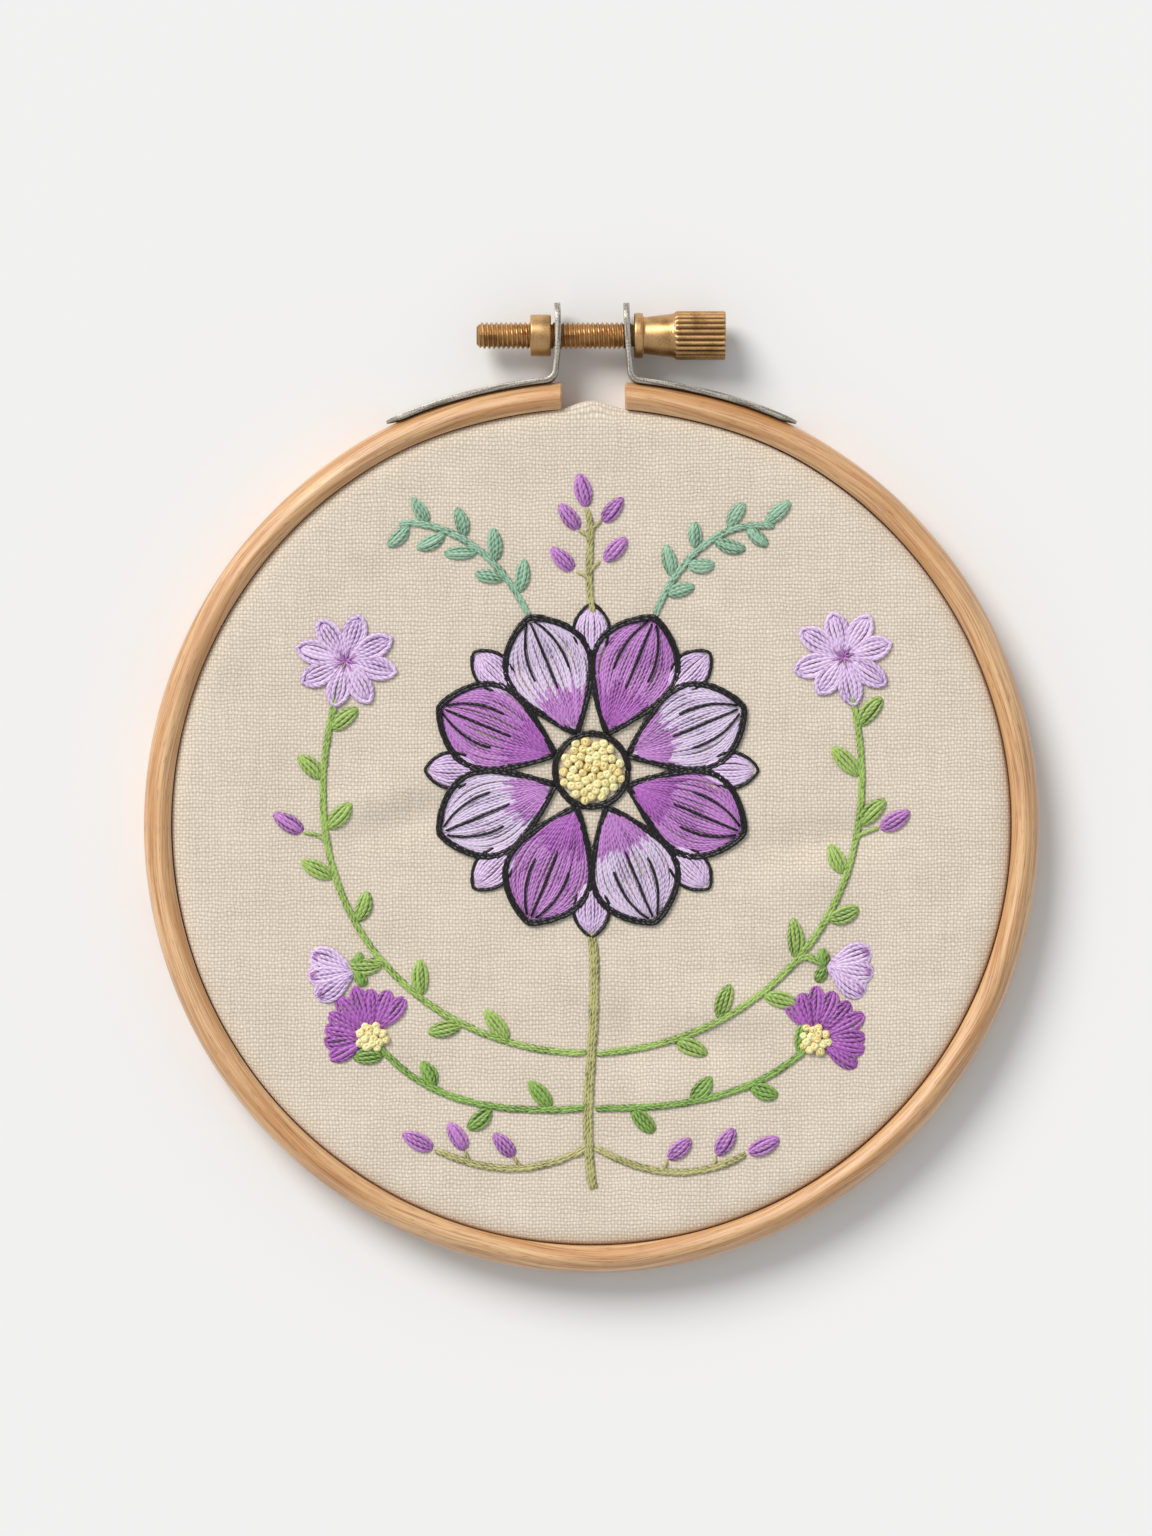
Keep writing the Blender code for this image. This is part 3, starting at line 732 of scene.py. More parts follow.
class HOOPART_OT_linen(Operator):
    """The linen: a line from its middle over the inner hoop to its cut edge, turned round the centre"""

    bl_idname = "hoopart.linen"
    bl_label = "Linen"

    def execute(self, context):
        cloth = settings().cloth
        front = cloth_line(0)
        back = cloth_line(mm(cloth.thickness))[::-1]
        line = np.concatenate([front, back])
        columns = 360
        angle = TURN * np.arange(columns) / columns - math.pi
        top = HOOP_DEPTH - mm(cloth.below_front)
        radius = np.repeat(line[:, :1], columns, 1)
        height = np.repeat(line[:, 1:2], columns, 1)
        bell = np.exp(-((angle / math.radians(3.1)) ** 2))
        near_edge = np.clip((radius - cloth_wall_radius() + 1.6) / 1.2, 0, 1)
        lifted = near_edge * np.clip(height / top, 0, 1) ** 0.5
        # Under its bend the cloth leans out until it touches the outer hoop, 0.7 mm further down
        bend_foot = top - mm(cloth.bend_fall)
        room = mm(cloth.gap) - TOUCH_GAP + off_middle(angle)
        leaning = np.clip((bend_foot - height) / 0.7, 0, 1) * room
        moved = off_middle(angle) * np.clip((radius - cloth_wall_radius() + 5) / 3, 0, 1)
        radius = (radius + leaning - moved) * squeezed(angle) + mm(cloth.peak) * bell * lifted
        height = height + (height > top - 1) * ripple_height(radius * np.sin(angle), radius * np.cos(angle))
        # The cut edge waves by up to 0.4 mm
        trim = 0.18 * np.sin(7 * angle) + 0.12 * np.sin(19 * angle + 1) + 0.08 * np.sin(53 * angle)
        height = height + trim * np.clip(1 - height / 3, 0, 1)
        points = about_centre(radius, angle, height)
        around = np.linspace(-math.pi, math.pi, columns + 1)
        flat = np.repeat(line[:, 2:3], columns + 1, 1)
        side = np.where(np.arange(len(line)) < len(front), MAP_MIDDLE, BACK_MIDDLE)[:, None]
        uv = np.stack([side + flat * np.sin(around), MAP_MIDDLE + flat * np.cos(around)], -1)
        mesh = make_mesh("linen", points, uv[None], wrap_cols=True, caps=True)
        piece = add_piece(mesh, material_of(*LINEN), "hoop", "linen", "cloth")
        return {"FINISHED"}


# Clamp

Side = namedtuple("Side", "name sign ear_x lean_deg sway")
SIDES = (
    Side("left", -1, 5.1, 1.5, 0.25),
    Side("right", 1, 5.35, 3.4, 0.1),
)
ARM_END_DEG = 27.0
ARM_STEPS = 110
DIMPLES_DEG = (11.8, 24.6)
DIMPLE_RADIUS = 1.6
DIMPLE_HEIGHT = 0.38


def bracket_line(side):
    """The middle of a bracket's plate as (x, y) rows: an arc on the hoop, a bend, and an ear up the screw.

    The bend's centre is one bend radius off both the ear and the arm's circle.
    """
    clamp_sizes = settings().clamp
    bend, half = mm(clamp_sizes.plate_bend), mm(clamp_sizes.plate) / 2
    stand = half + 0.03
    lean = math.radians(side.lean_deg)
    up = np.array([-side.sign * math.sin(lean), math.cos(lean)])
    outward = np.array([side.sign * up[1], -side.sign * up[0]])
    offset = np.array([side.sign * side.ear_x, SCREW_Y]) + outward * bend
    along = offset @ up
    reach = HOOP_RADIUS * squeezed(0) + stand + bend
    centre = offset + up * (math.sqrt(along**2 - offset @ offset + reach**2) - along)
    touch = math.atan2(side.sign * centre[0], centre[1])
    angle = np.linspace(math.radians(ARM_END_DEG), touch, ARM_STEPS)
    arm_radius = HOOP_RADIUS * squeezed(angle) + stand
    arm = np.stack([side.sign * arm_radius * np.sin(angle), arm_radius * np.cos(angle)], -1)
    start = -centre / np.linalg.norm(centre)
    sweep = -side.sign * math.acos(float(start @ -outward)) * np.linspace(0, 1, 13)[1:]
    cos, sin = np.cos(sweep), np.sin(sweep)
    corner = centre + bend * np.stack([start[0] * cos - start[1] * sin, start[0] * sin + start[1] * cos], -1)
    ear_length = (EAR_TOP - CENTRE_Y - 0.1 - corner[-1, 1]) / up[1]
    steps = np.linspace(0, 1, 40)[1:, None]
    # The ear is not quite straight: it bows by its side's sway on its way up
    ear = corner[-1] + up * ear_length * steps - side.sway * np.sin(steps * math.pi) * outward
    return np.concatenate([arm, corner, ear])


def plate_section(half_thickness, edge):
    """The plate's section as (off the middle, share of the half width) rows, with broken edges."""
    across = np.concatenate([[-1, -0.985], np.linspace(-0.95, 0.95, 21), [0.985, 1]])
    off = np.full(25, half_thickness)
    off[[0, -1]] = half_thickness - edge
    off[[1, -2]] = half_thickness - edge * 0.3
    top = np.stack([off, across], -1)
    return np.concatenate([top, -top])


class HOOPART_OT_brackets(Operator):
    """The two brackets: a plate's section carried along the hoop, round the bend and up the ear"""

    bl_idname = "hoopart.brackets"
    bl_label = "Brackets"

    def execute(self, context):
        for side in SIDES:
            self.make_bracket(side)
        return {"FINISHED"}

    def make_bracket(self, side):
        sizes = settings().clamp
        half, width = mm(sizes.plate) / 2, mm(sizes.plate_width)
        line = bracket_line(side)
        distance = np.concatenate([[0], np.cumsum(np.linalg.norm(np.diff(line, axis=0), axis=1))])
        tangent = np.gradient(line, axis=0)
        tangent /= np.linalg.norm(tangent, axis=1)[:, None]
        outward = np.stack([tangent[:, 1], -tangent[:, 0]], -1) * -side.sign
        end_round = 2.6
        share = np.clip(1 - np.minimum(distance, distance[-1] - distance) / end_round, 0, 1)
        half_width = width / 2 - end_round * (1 - np.sqrt(1 - share**2))
        # The arm is hammered thin at its tip and on the side away from the wood
        thin = 0.35 + 0.65 * np.clip(distance / 2.2, 0, 1)
        section = plate_section(half, 0.14)
        off = np.where(section[:, 0] > 0, section[:, 0] * (2 * thin[:, None] - 1), section[:, 0])
        across = section[:, 1] * half_width[:, None]
        angle = np.degrees(np.arctan2(line[:, 0], line[:, 1])) * side.sign
        on_arm = np.arange(len(line)) < ARM_STEPS
        for dimple in DIMPLES_DEG:
            away = np.hypot(np.radians(angle - dimple)[:, None] * HOOP_RADIUS, across) / DIMPLE_RADIUS
            bump = DIMPLE_HEIGHT * np.clip(1 - away**2, 0, 1) ** 1.2 * on_arm[:, None]
            off = off + np.where(section[:, 0] > 0, bump, 0)
        points = np.empty((len(line), len(section), 3))
        points[..., :2] = line[:, None] + outward[:, None] * off[..., None]
        points[..., 2] = SCREW_Z + across
        uv = grid_map(distance, section_distances(section * [1, width / 2]))
        mesh = make_mesh(f"bracket_{side.name}_steel", points[None], uv, wrap_cols=True, caps=True)
        bracket = add_piece(mesh, material_of(*STEEL), "hoop", "plated_steel", f"bracket_{side.name}")
        cut_hole(bracket, side)


def cut_hole(bracket, side):
    """Cuts the screw's hole through an ear with a round bar along X, a fifth of a millimetre wider."""
    x = np.sort(np.array([side.ear_x - 2, side.ear_x + 2]) * side.sign)
    points, uv = turned_about_screw(x, np.full((2, 48), mm(settings().clamp.crest) + 0.2))
    bar_mesh = make_mesh("hole_bar", points, uv, wrap_cols=True, caps=True)
    bar = add_object("hole_bar", bar_mesh)
    modifier = bracket.modifiers.new("Hole", "BOOLEAN")
    modifier.operation = "DIFFERENCE"
    modifier.object = bar
    bpy.context.view_layer.update()
    shaped = bracket.evaluated_get(bpy.context.evaluated_depsgraph_get())
    mesh = bpy.data.meshes.new_from_object(shaped)
    bracket.modifiers.clear()
    bracket.data = mesh
    mesh.set_sharp_from_angle(angle=math.radians(40))
    bpy.data.objects.remove(bar)
    bpy.data.meshes.remove(bar_mesh)


class HOOPART_OT_clamp_nut(Operator):
    """The round nut: a profile with broken edges turned about the screw's axis, open through its middle"""

    bl_idname = "hoopart.clamp_nut"
    bl_label = "Clamp nut"

    def execute(self, context):
        bore = mm(settings().clamp.crest) + 0.04
        start, end = NUT_LOW.x / MM, NUT_HIGH.x / MM
        outside = (NUT_HIGH.z - NUT_LOW.z) / 2 / MM
        corners = [
            (start + 1.5, bore),
            (start + 0.3, bore),
            (start, bore + 0.3),
            (start, outside),
            (end, outside),
            (end, bore + 0.3),
            (end - 0.3, bore),
            (start + 1.5, bore),
        ]
        profile = round_corners(corners, 0.28)[:-1]
        points, uv = turned_about_screw(profile[:, 0], np.repeat(profile[:, 1:], 72, 1))
        uv = np.concatenate([uv, uv[:, :1]], 1)
        mesh = make_mesh("clamp_nut_brass", points, uv, wrap_rows=True, wrap_cols=True)
        add_piece(mesh, material_of(*BRASS), "hoop", "brass", "clamp_nut")
        return {"FINISHED"}


class HOOPART_OT_thumbscrew(Operator):
    """The thumbscrew: one surface about the screw's axis, whose radius follows thread, neck and ridges"""

    bl_idname = "hoopart.thumbscrew"
    bl_label = "Thumbscrew"

    def execute(self, context):
        sizes = settings().clamp
        tip, end = SCREW_LOW.x / MM, mm(sizes.flange_start)
        rod = np.linspace(tip, end, 8 * round((end - tip) / mm(sizes.pitch)) + 1)
        head = self.head()
        around = TURN * np.arange(192) / 192
        rod_radius = self.thread(rod[:, None], around)
        head_radius = self.knurl(head[:, :1], head[:, 1:], around)
        along = np.concatenate([rod, head[:, 0]])
        points, uv = turned_about_screw(along, np.concatenate([rod_radius, head_radius]))
        mesh = make_mesh("thumbscrew_brass", points, uv, wrap_cols=True, caps=True)
        # How far the surface lies under its ridges, from 0 to 1, and less than half that in the thread: the
        # brass is darkened there with painted shade, and is rougher
        under_crest = 0.4 * (mm(sizes.crest) - rod_radius) / (mm(sizes.crest) - mm(sizes.root))
        under_ridge = (head[:, 1:] - head_radius) / mm(sizes.knurl_depth)
        recess = np.clip(np.concatenate([under_crest, under_ridge]), 0, 1)
        mark_points(mesh, "recess", recess)
        add_piece(mesh, material_of(*BRASS), "screw", "brass", "thumbscrew")
        return {"FINISHED"}

    def thread(self, along, around):
        """The rod's radius: a flat topped ridge that climbs one pitch a turn, cut back at the tip's bevel."""
        sizes = settings().clamp
        crest, root, pitch = mm(sizes.crest), mm(sizes.root), mm(sizes.pitch)
        phase = (along / pitch + around / TURN) % 1
        ridge = np.clip(1.35 - 3.5 * np.abs(phase - 0.5), 0, 1)
        bevel = root - 0.35 + (along - SCREW_LOW.x / MM) * 1.1
        run_out = np.clip((mm(sizes.flange_start) - 0.25 - along) / 0.4, 0, 1)
        return np.minimum(root + (crest - root) * ridge * run_out, bevel)

    def head(self):
        """The head's profile as (distance, radius) rows: flange, flared neck and grip."""
        sizes = settings().clamp
        start, knurl_start, end = mm(sizes.flange_start), mm(sizes.knurl_start), SCREW_HIGH.x / MM
        flange, grip = mm(sizes.flange_radius), mm(sizes.knurl_radius)
        outline = [
            (start, 2.0),
            (start, flange),
            (start + 1.3, flange),
            (start + 1.32, 2.65),
            (knurl_start - 0.6, 3.14),
            (knurl_start, grip - 0.32),
            (knurl_start + 0.35, grip),
            (end, grip),
            (end, 0.5),
        ]
        profile = round_corners(outline, 0.3, 5)
        pieces = []
        for a, b in zip(profile, profile[1:]):
            steps = max(1, math.ceil(np.linalg.norm(b - a) / 0.25))
            pieces.append(a + (b - a) * np.arange(steps)[:, None] / steps)
        pieces.append(profile[-1:])
        return np.concatenate(pieces)

    def knurl(self, along, radius, around):
        """The head's radius less a round groove between ridges, which runs out at the grip's shoulders."""
        sizes = settings().clamp
        start, end = mm(sizes.knurl_start), SCREW_HIGH.x / MM
        groove = 1 - np.abs(np.sin(around * sizes.ridges / 2)) ** 1.1
        window = np.clip((along - start - 0.15) / 0.7, 0, 1) * np.clip((end + 0.1 - along) / 0.5, 0, 1)
        over = np.clip((radius - (mm(sizes.knurl_radius) - 0.6)) / 0.5, 0, 1)
        return radius - mm(sizes.knurl_depth) * groove * np.sqrt(window) * over


# Stitches: every strand is a short round tube laid on the linen, whose ends go down into it

STEPS = np.array([0.0, 0.05, 0.16, 0.34, 0.5, 0.66, 0.84, 0.95, 1.0])
ARCH = 1 - np.abs(2 * STEPS - 1) ** 5
AROUND = TURN * np.arange(6) / 6 - math.pi / 2
laid = {}


def lay(piece, paths, width, lift=0.0):
    """Keeps strands for a piece: paths is (strands, steps, 2) in millimetres, width and lift per strand."""
    count = len(paths)
    widths = np.broadcast_to(np.asarray(width, float), (count,))
    lifts = np.broadcast_to(np.asarray(lift, float), (count,))
    laid.setdefault(piece, []).append((paths, widths, lifts))


def tubes(centre, half_width, flat=0.85):
    """Round tubes with their seam underneath: centre is (tubes, steps, 3), with a half width per step."""
    tangent = np.gradient(centre, axis=1)
    tangent /= np.linalg.norm(tangent, axis=2, keepdims=True) + 1e-9
    side = np.cross(tangent, UP)
    side /= np.linalg.norm(side, axis=2, keepdims=True) + 1e-9
    top = np.cross(side, tangent)
    offset = (
        np.cos(AROUND)[:, None] * side[:, :, None] + np.sin(AROUND)[:, None] * top[:, :, None] * flat
    )
    points = centre[:, :, None] + offset * half_width[..., None, None]
    run = np.linalg.norm(np.diff(centre, axis=1), axis=2).cumsum(1)
    run = np.concatenate([np.zeros((len(centre), 1)), run], 1)
    u = np.repeat(run[..., None], len(AROUND) + 1, 2)
    v = np.broadcast_to(np.linspace(0, 1, len(AROUND) + 1), u.shape)
    return points, np.stack([u, v], -1)


def make_stitches(piece, thread, points, uv):
    """One mesh of all the strands of a piece, each with its own random shade."""
    mesh = make_mesh(piece, points, uv, wrap_cols=True, caps=True)
    grids, rows, cols, _ = points.shape
    rng = np.random.default_rng(settings().stitch.seed + len(piece))
    shade = np.repeat(rng.random(grids), rows * cols)
    mark_points(mesh, "strand", shade)
    material = material_of(f"stranded cotton {thread}", make_floss, getattr(settings().threads, thread))
    add_piece(mesh, material, "hoop", "linen")


def finish_piece(piece, thread):
    """Makes the strands kept for a piece into its mesh.

    A strand rises out of the linen, arches over it and goes back in: its height is the linen's, plus a
    third of its width and its lift times a flat topped arch, less a dip at its ends, where it narrows.
    """
    paths, widths, lifts = (np.concatenate(part) for part in zip(*laid[piece]))
    ground = cloth_height(paths[..., 0], paths[..., 1])
    height = ground + (widths * 0.3 + lifts)[:, None] * ARCH - 0.22 * (1 - ARCH)
    centre = np.concatenate([paths, height[..., None]], -1)
    make_stitches(piece, thread, *tubes(centre, widths[:, None] / 2 * (0.62 + 0.38 * ARCH)))


def leaf_shape(base, heading, reach, width, t, share, fullness, bow=0.0):
    """Points in a leaf shape at t from its base to its tip and at a share of its half width.

    The half width is the sine of pi times t to the fullness, to the power 0.75. Bow bends the whole
    shape sideways.
    """
    half = width / 2 * np.sin(math.pi * np.clip(t, 0, 1) ** fullness) ** 0.75
    forward, sideways = reach * t, share * half + bow * np.sin(math.pi * t)
    cos, sin = math.cos(heading), math.sin(heading)
    return np.stack(
        [base[0] + forward * cos - sideways * sin, base[1] + forward * sin + sideways * cos], -1
    )


def fill_leaf(piece, rng, base, heading, reach, width, strand, rows=1, fullness=1.25, bow=0.0, pad=0.25):
    """Long and short stitches that fill a leaf shape from its base to its tip in overlapping rows."""
    count = max(4, round(width / strand * 1.05))
    share = np.linspace(-0.94, 0.94, count) + rng.uniform(-0.02, 0.02, count)
    edges = np.linspace(0.0, 1.0, rows + 1)
    for row in range(rows):
        start = rng.uniform(0.0, 0.04, count) if row == 0 else edges[row] - rng.uniform(0.02, 0.16, count)
        last = row == rows - 1
        end = 1 - rng.uniform(0.0, 0.03, count) if last else edges[row + 1] + rng.uniform(0.0, 0.1, count)
        t = start[:, None] + (end - start)[:, None] * STEPS
        astray = share[:, None] + rng.normal(0, 0.3 / count, (count, 1)) * (2 * STEPS - 1)
        paths = leaf_shape(base, heading, reach, width, t, astray, fullness, bow)
        paths = paths + rng.normal(0, 0.025, (count, 1, 2))
        lift = pad * (1 - share**2) + rng.uniform(0, 0.07, count) + 0.03 * (rows - 1 - row)
        lay(piece, paths, strand * rng.uniform(0.92, 1.12, count), lift)


def leaf_edge(base, heading, reach, width, fullness=1.25, count=60):
    """The edge of a leaf shape as a closed curve from its base up one side and down the other."""
    t = np.linspace(0, 1, count)
    t = np.concatenate([t, t[-2::-1]])
    share = np.where(np.arange(len(t)) < count, 1.0, -1.0)
    return leaf_shape(base, heading, reach, width, t, share, fullness)


def along_curve(curve, distance):
    """Points and directions at distances along a dense (points, 2) curve, and its whole length."""
    steps = np.concatenate([[0], np.cumsum(np.linalg.norm(np.diff(curve, axis=0), axis=1))])
    place = np.stack([np.interp(distance, steps, curve[:, i]) for i in (0, 1)], -1)
    slope = np.gradient(curve, axis=0)
    direction = np.stack([np.interp(distance, steps, slope[:, i]) for i in (0, 1)], -1)
    direction /= np.linalg.norm(direction, axis=-1, keepdims=True)
    return place, direction, steps[-1]


def stem_stitches(piece, rng, curve, strand, stitch, slant=0.16, plies=2, lift=0.05):
    """Stem stitch: each stitch starts half way along the last, and slants across the line like a rope."""
    total = along_curve(curve, 0.0)[2]
    stitch = min(stitch, total)
    count = max(1, round(2 * total / stitch) - 1)
    starts = np.linspace(0, total - stitch, count)
    for ply in range(plies):
        shift = (ply - (plies - 1) / 2) * strand * 0.74
        t = starts[:, None] + stitch * STEPS + rng.uniform(-0.1, 0.1, (count, 1))
        place, direction, _ = along_curve(curve, t)
        normal = np.stack([-direction[..., 1], direction[..., 0]], -1)
        sideways = slant * (2 * STEPS - 1) + shift + rng.normal(0, 0.02, (count, 1))
        past_end = (t - np.clip(t, 0, total))[..., None]
        paths = place + direction * past_end + normal * sideways[..., None]
        lay(piece, paths, strand * rng.uniform(0.93, 1.1, count), lift + rng.uniform(0, 0.05, count))


def bezier(controls, count=80):
    """A smooth curve drawn by its control points: neighbours are blended until one is left."""
    t = np.linspace(0, 1, count)[:, None]
    layers = [np.broadcast_to(np.array(point, float), (count, 2)) for point in controls]
    while len(layers) > 1:
        layers = [a * (1 - t) + b * t for a, b in zip(layers, layers[1:])]
    return layers[0]


def knots(centres, strand, rng, size=0.5):
    """French knots: each is a strand wound two and a quarter times in a small rising spiral.

    Centres are (x, y, lift) rows.
    """
    t = np.linspace(0, 1, 30)
    count = len(centres)
    x, y, lift = (centres[:, i : i + 1] for i in range(3))
    turn = TURN * 2.25 * t + rng.uniform(0, TURN, (count, 1))
    radius = size * (1 - 0.62 * t) * rng.uniform(0.85, 1.15, (count, 1))
    height = cloth_height(x, y) + lift + 0.1 + 0.6 * t - 0.35 * np.clip((t - 0.93) / 0.07, 0, 1)
    centre = np.stack([x + radius * np.cos(turn), y + radius * np.sin(turn), height], -1)
    half = np.full((count, len(t)), strand / 2)
    half[:, [0, -1]] *= 0.5
    return tubes(centre, half, 1.0)


# The posy, in millimetres from the cloth's centre: made up for this part

FLOWER_CENTRE = (0.0, 8.0)
FLOWER_PETALS = 8
PETAL_BASE = 5.6
PETAL_REACH = 18.0
PETAL_WIDTH = 12.0
TIP_BASE = 15.2
TIP_REACH = 8.6
TIP_WIDTH = 4.6
RIM_RADIUS = 5.3
BACK_RUN_LIMIT = 9.0

# A twig leaves its stem at a share of the stem's length, turned to the left, and ends in a bloom
Twig = namedtuple("Twig", "kind share turn_deg reach size")
Stem = namedtuple("Stem", "thread plies mirrored controls leaves leaf_thread leaf_length twigs")
STEMS = (
    Stem("olive", 3, False, ((0, -15.5), (1.6, -27), (-1.8, -40), (0.4, -52.5)), 0, None, 0, ()),
    Stem(
        "fresh_green", 2, True, ((0.7, -33), (22, -33), (45.5, -14), (37.5, 19)), 9, "fresh_green", 5.4,
        (
            Twig("tulip", 0.44, -56, 4.4, 7.2),
            Twig("bud", 0.70, -46, 4.4, 5.0),
            Twig("star", 1.0, 0, 5.4, 6.6),
        ),
    ),
    Stem(
        "leaf_green", 2, True, ((0.5, -41), (12, -41.5), (24, -40), (31.0, -31.5)), 4, "leaf_green", 4.6,
        (Twig("fan", 1.0, 0, 1.0, 6.8),),
    ),
    Stem(
        "olive", 2, True, ((0.3, -46.5), (7, -50.5), (14, -51.5), (22.5, -47.5)), 0, None, 0,
        (Twig("bud", 0.42, 52, 2.4, 4.4), Twig("bud", 0.74, 44, 2.4, 4.6), Twig("bud", 1.0, 0, 0.3, 5.0)),
    ),
    Stem(
        "olive", 2, False, ((0.2, 30.5), (-1.0, 36), (1.0, 42), (0.2, 46.8)), 0, None, 0,
        (
            Twig("bud", 0.28, 44, 3.2, 4.6),
            Twig("bud", 0.36, -44, 3.2, 4.6),
            Twig("bud", 0.66, 38, 2.8, 4.6),
            Twig("bud", 0.74, -40, 2.8, 4.6),
            Twig("bud", 1.0, 0, 0.3, 5.0),
        ),
    ),
    Stem("sage", 2, True, ((9.0, 30.0), (12, 38), (18, 44), (27, 43.5)), 8, "sage", 4.6, ()),
)

Branch = namedtuple("Branch", "thread plies curve")
Leaf = namedtuple("Leaf", "thread x y heading reach")
Bloom = namedtuple("Bloom", "kind x y heading size")


def plan_posy():
    """Every stem and twig as a curve, every leaf and every bloom, with a hand's small unevenness."""
    rng = np.random.default_rng(settings().stitch.seed)
    branches, leaves, blooms = [], [], []
    for stem in STEMS:
        for side in (1, -1) if stem.mirrored else (1,):
            controls = np.array(stem.controls, float) * [side, 1]
            controls[1:] += rng.normal(0, 0.45, controls[1:].shape)
            curve = bezier(controls)
            total = along_curve(curve, 0.0)[2]
            branches.append(Branch(stem.thread, stem.plies, curve))
            for number, share in enumerate(np.linspace(0.15, 0.93, stem.leaves)):
                place, direction, _ = along_curve(curve, share * total)
                turn = math.radians(rng.uniform(36, 52)) * (1 if number % 2 else -1)
                heading = math.atan2(direction[1], direction[0]) + turn
                away = place + 0.4 * unit(heading)
                reach = stem.leaf_length * rng.uniform(0.86, 1.1)
                leaves.append(Leaf(stem.leaf_thread, *away, heading, reach))
            for twig in stem.twigs:
                place, direction, _ = along_curve(curve, twig.share * total)
                straight = math.atan2(direction[1], direction[0])
                heading = straight + math.radians(twig.turn_deg) * side
                bend = place + twig.reach * 0.5 * unit(straight)
                foot = place + twig.reach * unit(heading)
                if twig.reach > 0.5:
                    plies = 1 if twig.kind == "bud" else 2
                    branches.append(Branch(stem.thread, plies, bezier([place, bend, foot])))
                blooms.append(Bloom(twig.kind, *foot, heading, twig.size))
    return branches, leaves, blooms


class HOOPART_OT_open_flower(Operator):
    """The open flower: eight petals filled in long and short stitch, outlined in black stem stitch"""

    bl_idname = "hoopart.open_flower"
    bl_label = "Open flower"

    def execute(self, context):
        sizes = settings().stitch
        rng = np.random.default_rng(sizes.seed)
        strand, outline = mm(sizes.satin), mm(sizes.outline)
        centre = np.array(FLOWER_CENTRE)
        for petal in range(FLOWER_PETALS):
            heading = TURN * (petal + 0.5) / FLOWER_PETALS
            self.make_petal(rng, petal, centre, heading, strand, outline)
            heading += math.pi / FLOWER_PETALS
            base = centre + TIP_BASE * unit(heading)
            fill_leaf("flower_tips_lilac_floss", rng, base, heading, TIP_REACH, TIP_WIDTH, strand)
            edge = leaf_edge(base, heading, TIP_REACH + 0.4, TIP_WIDTH + 0.6)
            stem_stitches("flower_outline_black_floss", rng, edge[18:-18], outline * 0.85, 2.2, 0.08, 1, 0.1)
        ring = TURN * np.linspace(0, 1, 60)
        rim = centre + RIM_RADIUS * np.stack([np.cos(ring), np.sin(ring)], -1)
        stem_stitches("flower_outline_black_floss", rng, rim, outline, 2.2, 0.1, 2, 0.15)
        finish_piece("flower_petals_purple_floss", "purple")
        finish_piece("flower_petals_pale_floss", "pale_lilac")
        finish_piece("flower_hearts_violet_floss", "deep_violet")
        finish_piece("flower_tips_lilac_floss", "mid_lilac")
        finish_piece("flower_outline_black_floss", "black")
        return {"FINISHED"}

    def make_petal(self, rng, petal, centre, heading, strand, outline):
        """A petal of three rows, with a darker heart at its foot, black veins and a black edge."""
        base = centre + PETAL_BASE * unit(heading)
        odd = petal % 2 == 1
        piece = "flower_petals_purple_floss" if odd else "flower_petals_pale_floss"
        fill_leaf(piece, rng, base, heading, PETAL_REACH, PETAL_WIDTH, strand, 3, 1.35, pad=0.12)
        heart = "flower_hearts_violet_floss" if odd else "flower_petals_purple_floss"
        share = np.linspace(-0.84, 0.84, 18)[:, None]
        end = 0.47 - 0.13 * share**2 + rng.uniform(-0.08, 0.08, share.shape)
        paths = leaf_shape(base, heading, PETAL_REACH, PETAL_WIDTH, 0.02 + (end - 0.02) * STEPS, share, 1.35)
        lay(heart, paths, strand, 0.3 + rng.uniform(0, 0.07, len(share)))
        edge = leaf_edge(base, heading, PETAL_REACH + 0.3, PETAL_WIDTH + 0.5, 1.35)
        stem_stitches("flower_outline_black_floss", rng, edge, outline, 2.4, 0.1, 2, 0.25)
        t = np.linspace(0, 1, 30)
        for share, start in ((-0.45, 0.5), (0.0, 0.38), (0.45, 0.5)):
            vein = leaf_shape(
                base, heading, PETAL_REACH, PETAL_WIDTH, start + (0.97 - start) * t, share * np.ones(30), 1.35
            )
            stem_stitches("flower_outline_black_floss", rng, vein, outline * 0.72, 2.6, 0.04, 1, 0.42)


class HOOPART_OT_stems(Operator):
    """The stems: rope like rows of stem stitch along smooth curves"""

    bl_idname = "hoopart.stems"
    bl_label = "Stems"

    def execute(self, context):
        sizes = settings().stitch
        rng = np.random.default_rng(sizes.seed + 1)
        branches, _, _ = plan_posy()
        for branch in branches:
            piece = f"stems_{branch.thread}_floss"
            stem_stitches(piece, rng, branch.curve, mm(sizes.stem), mm(sizes.stem_stitch), plies=branch.plies)
        for thread in sorted({branch.thread for branch in branches}):
            finish_piece(f"stems_{thread}_floss", thread)
        return {"FINISHED"}


class HOOPART_OT_leaves(Operator):
    """The leaves: a few thick straight stitches side by side in a leaf shape, in turn along a stem"""

    bl_idname = "hoopart.leaves"
    bl_label = "Leaves"

    def execute(self, context):
        sizes = settings().stitch
        rng = np.random.default_rng(sizes.seed + 2)
        _, leaves, _ = plan_posy()
        for leaf in leaves:
            width = 1.6 if leaf.thread == "sage" else 2.0
            piece = f"leaves_{leaf.thread}_floss"
            bow = rng.uniform(-0.3, 0.3)
            foot = (leaf.x, leaf.y)
            strand = mm(sizes.leaf)
            fill_leaf(piece, rng, foot, leaf.heading, leaf.reach, width, strand, 1, 1.0, bow, 0.3)
        for thread in sorted({leaf.thread for leaf in leaves}):
            finish_piece(f"leaves_{thread}_floss", thread)
        return {"FINISHED"}


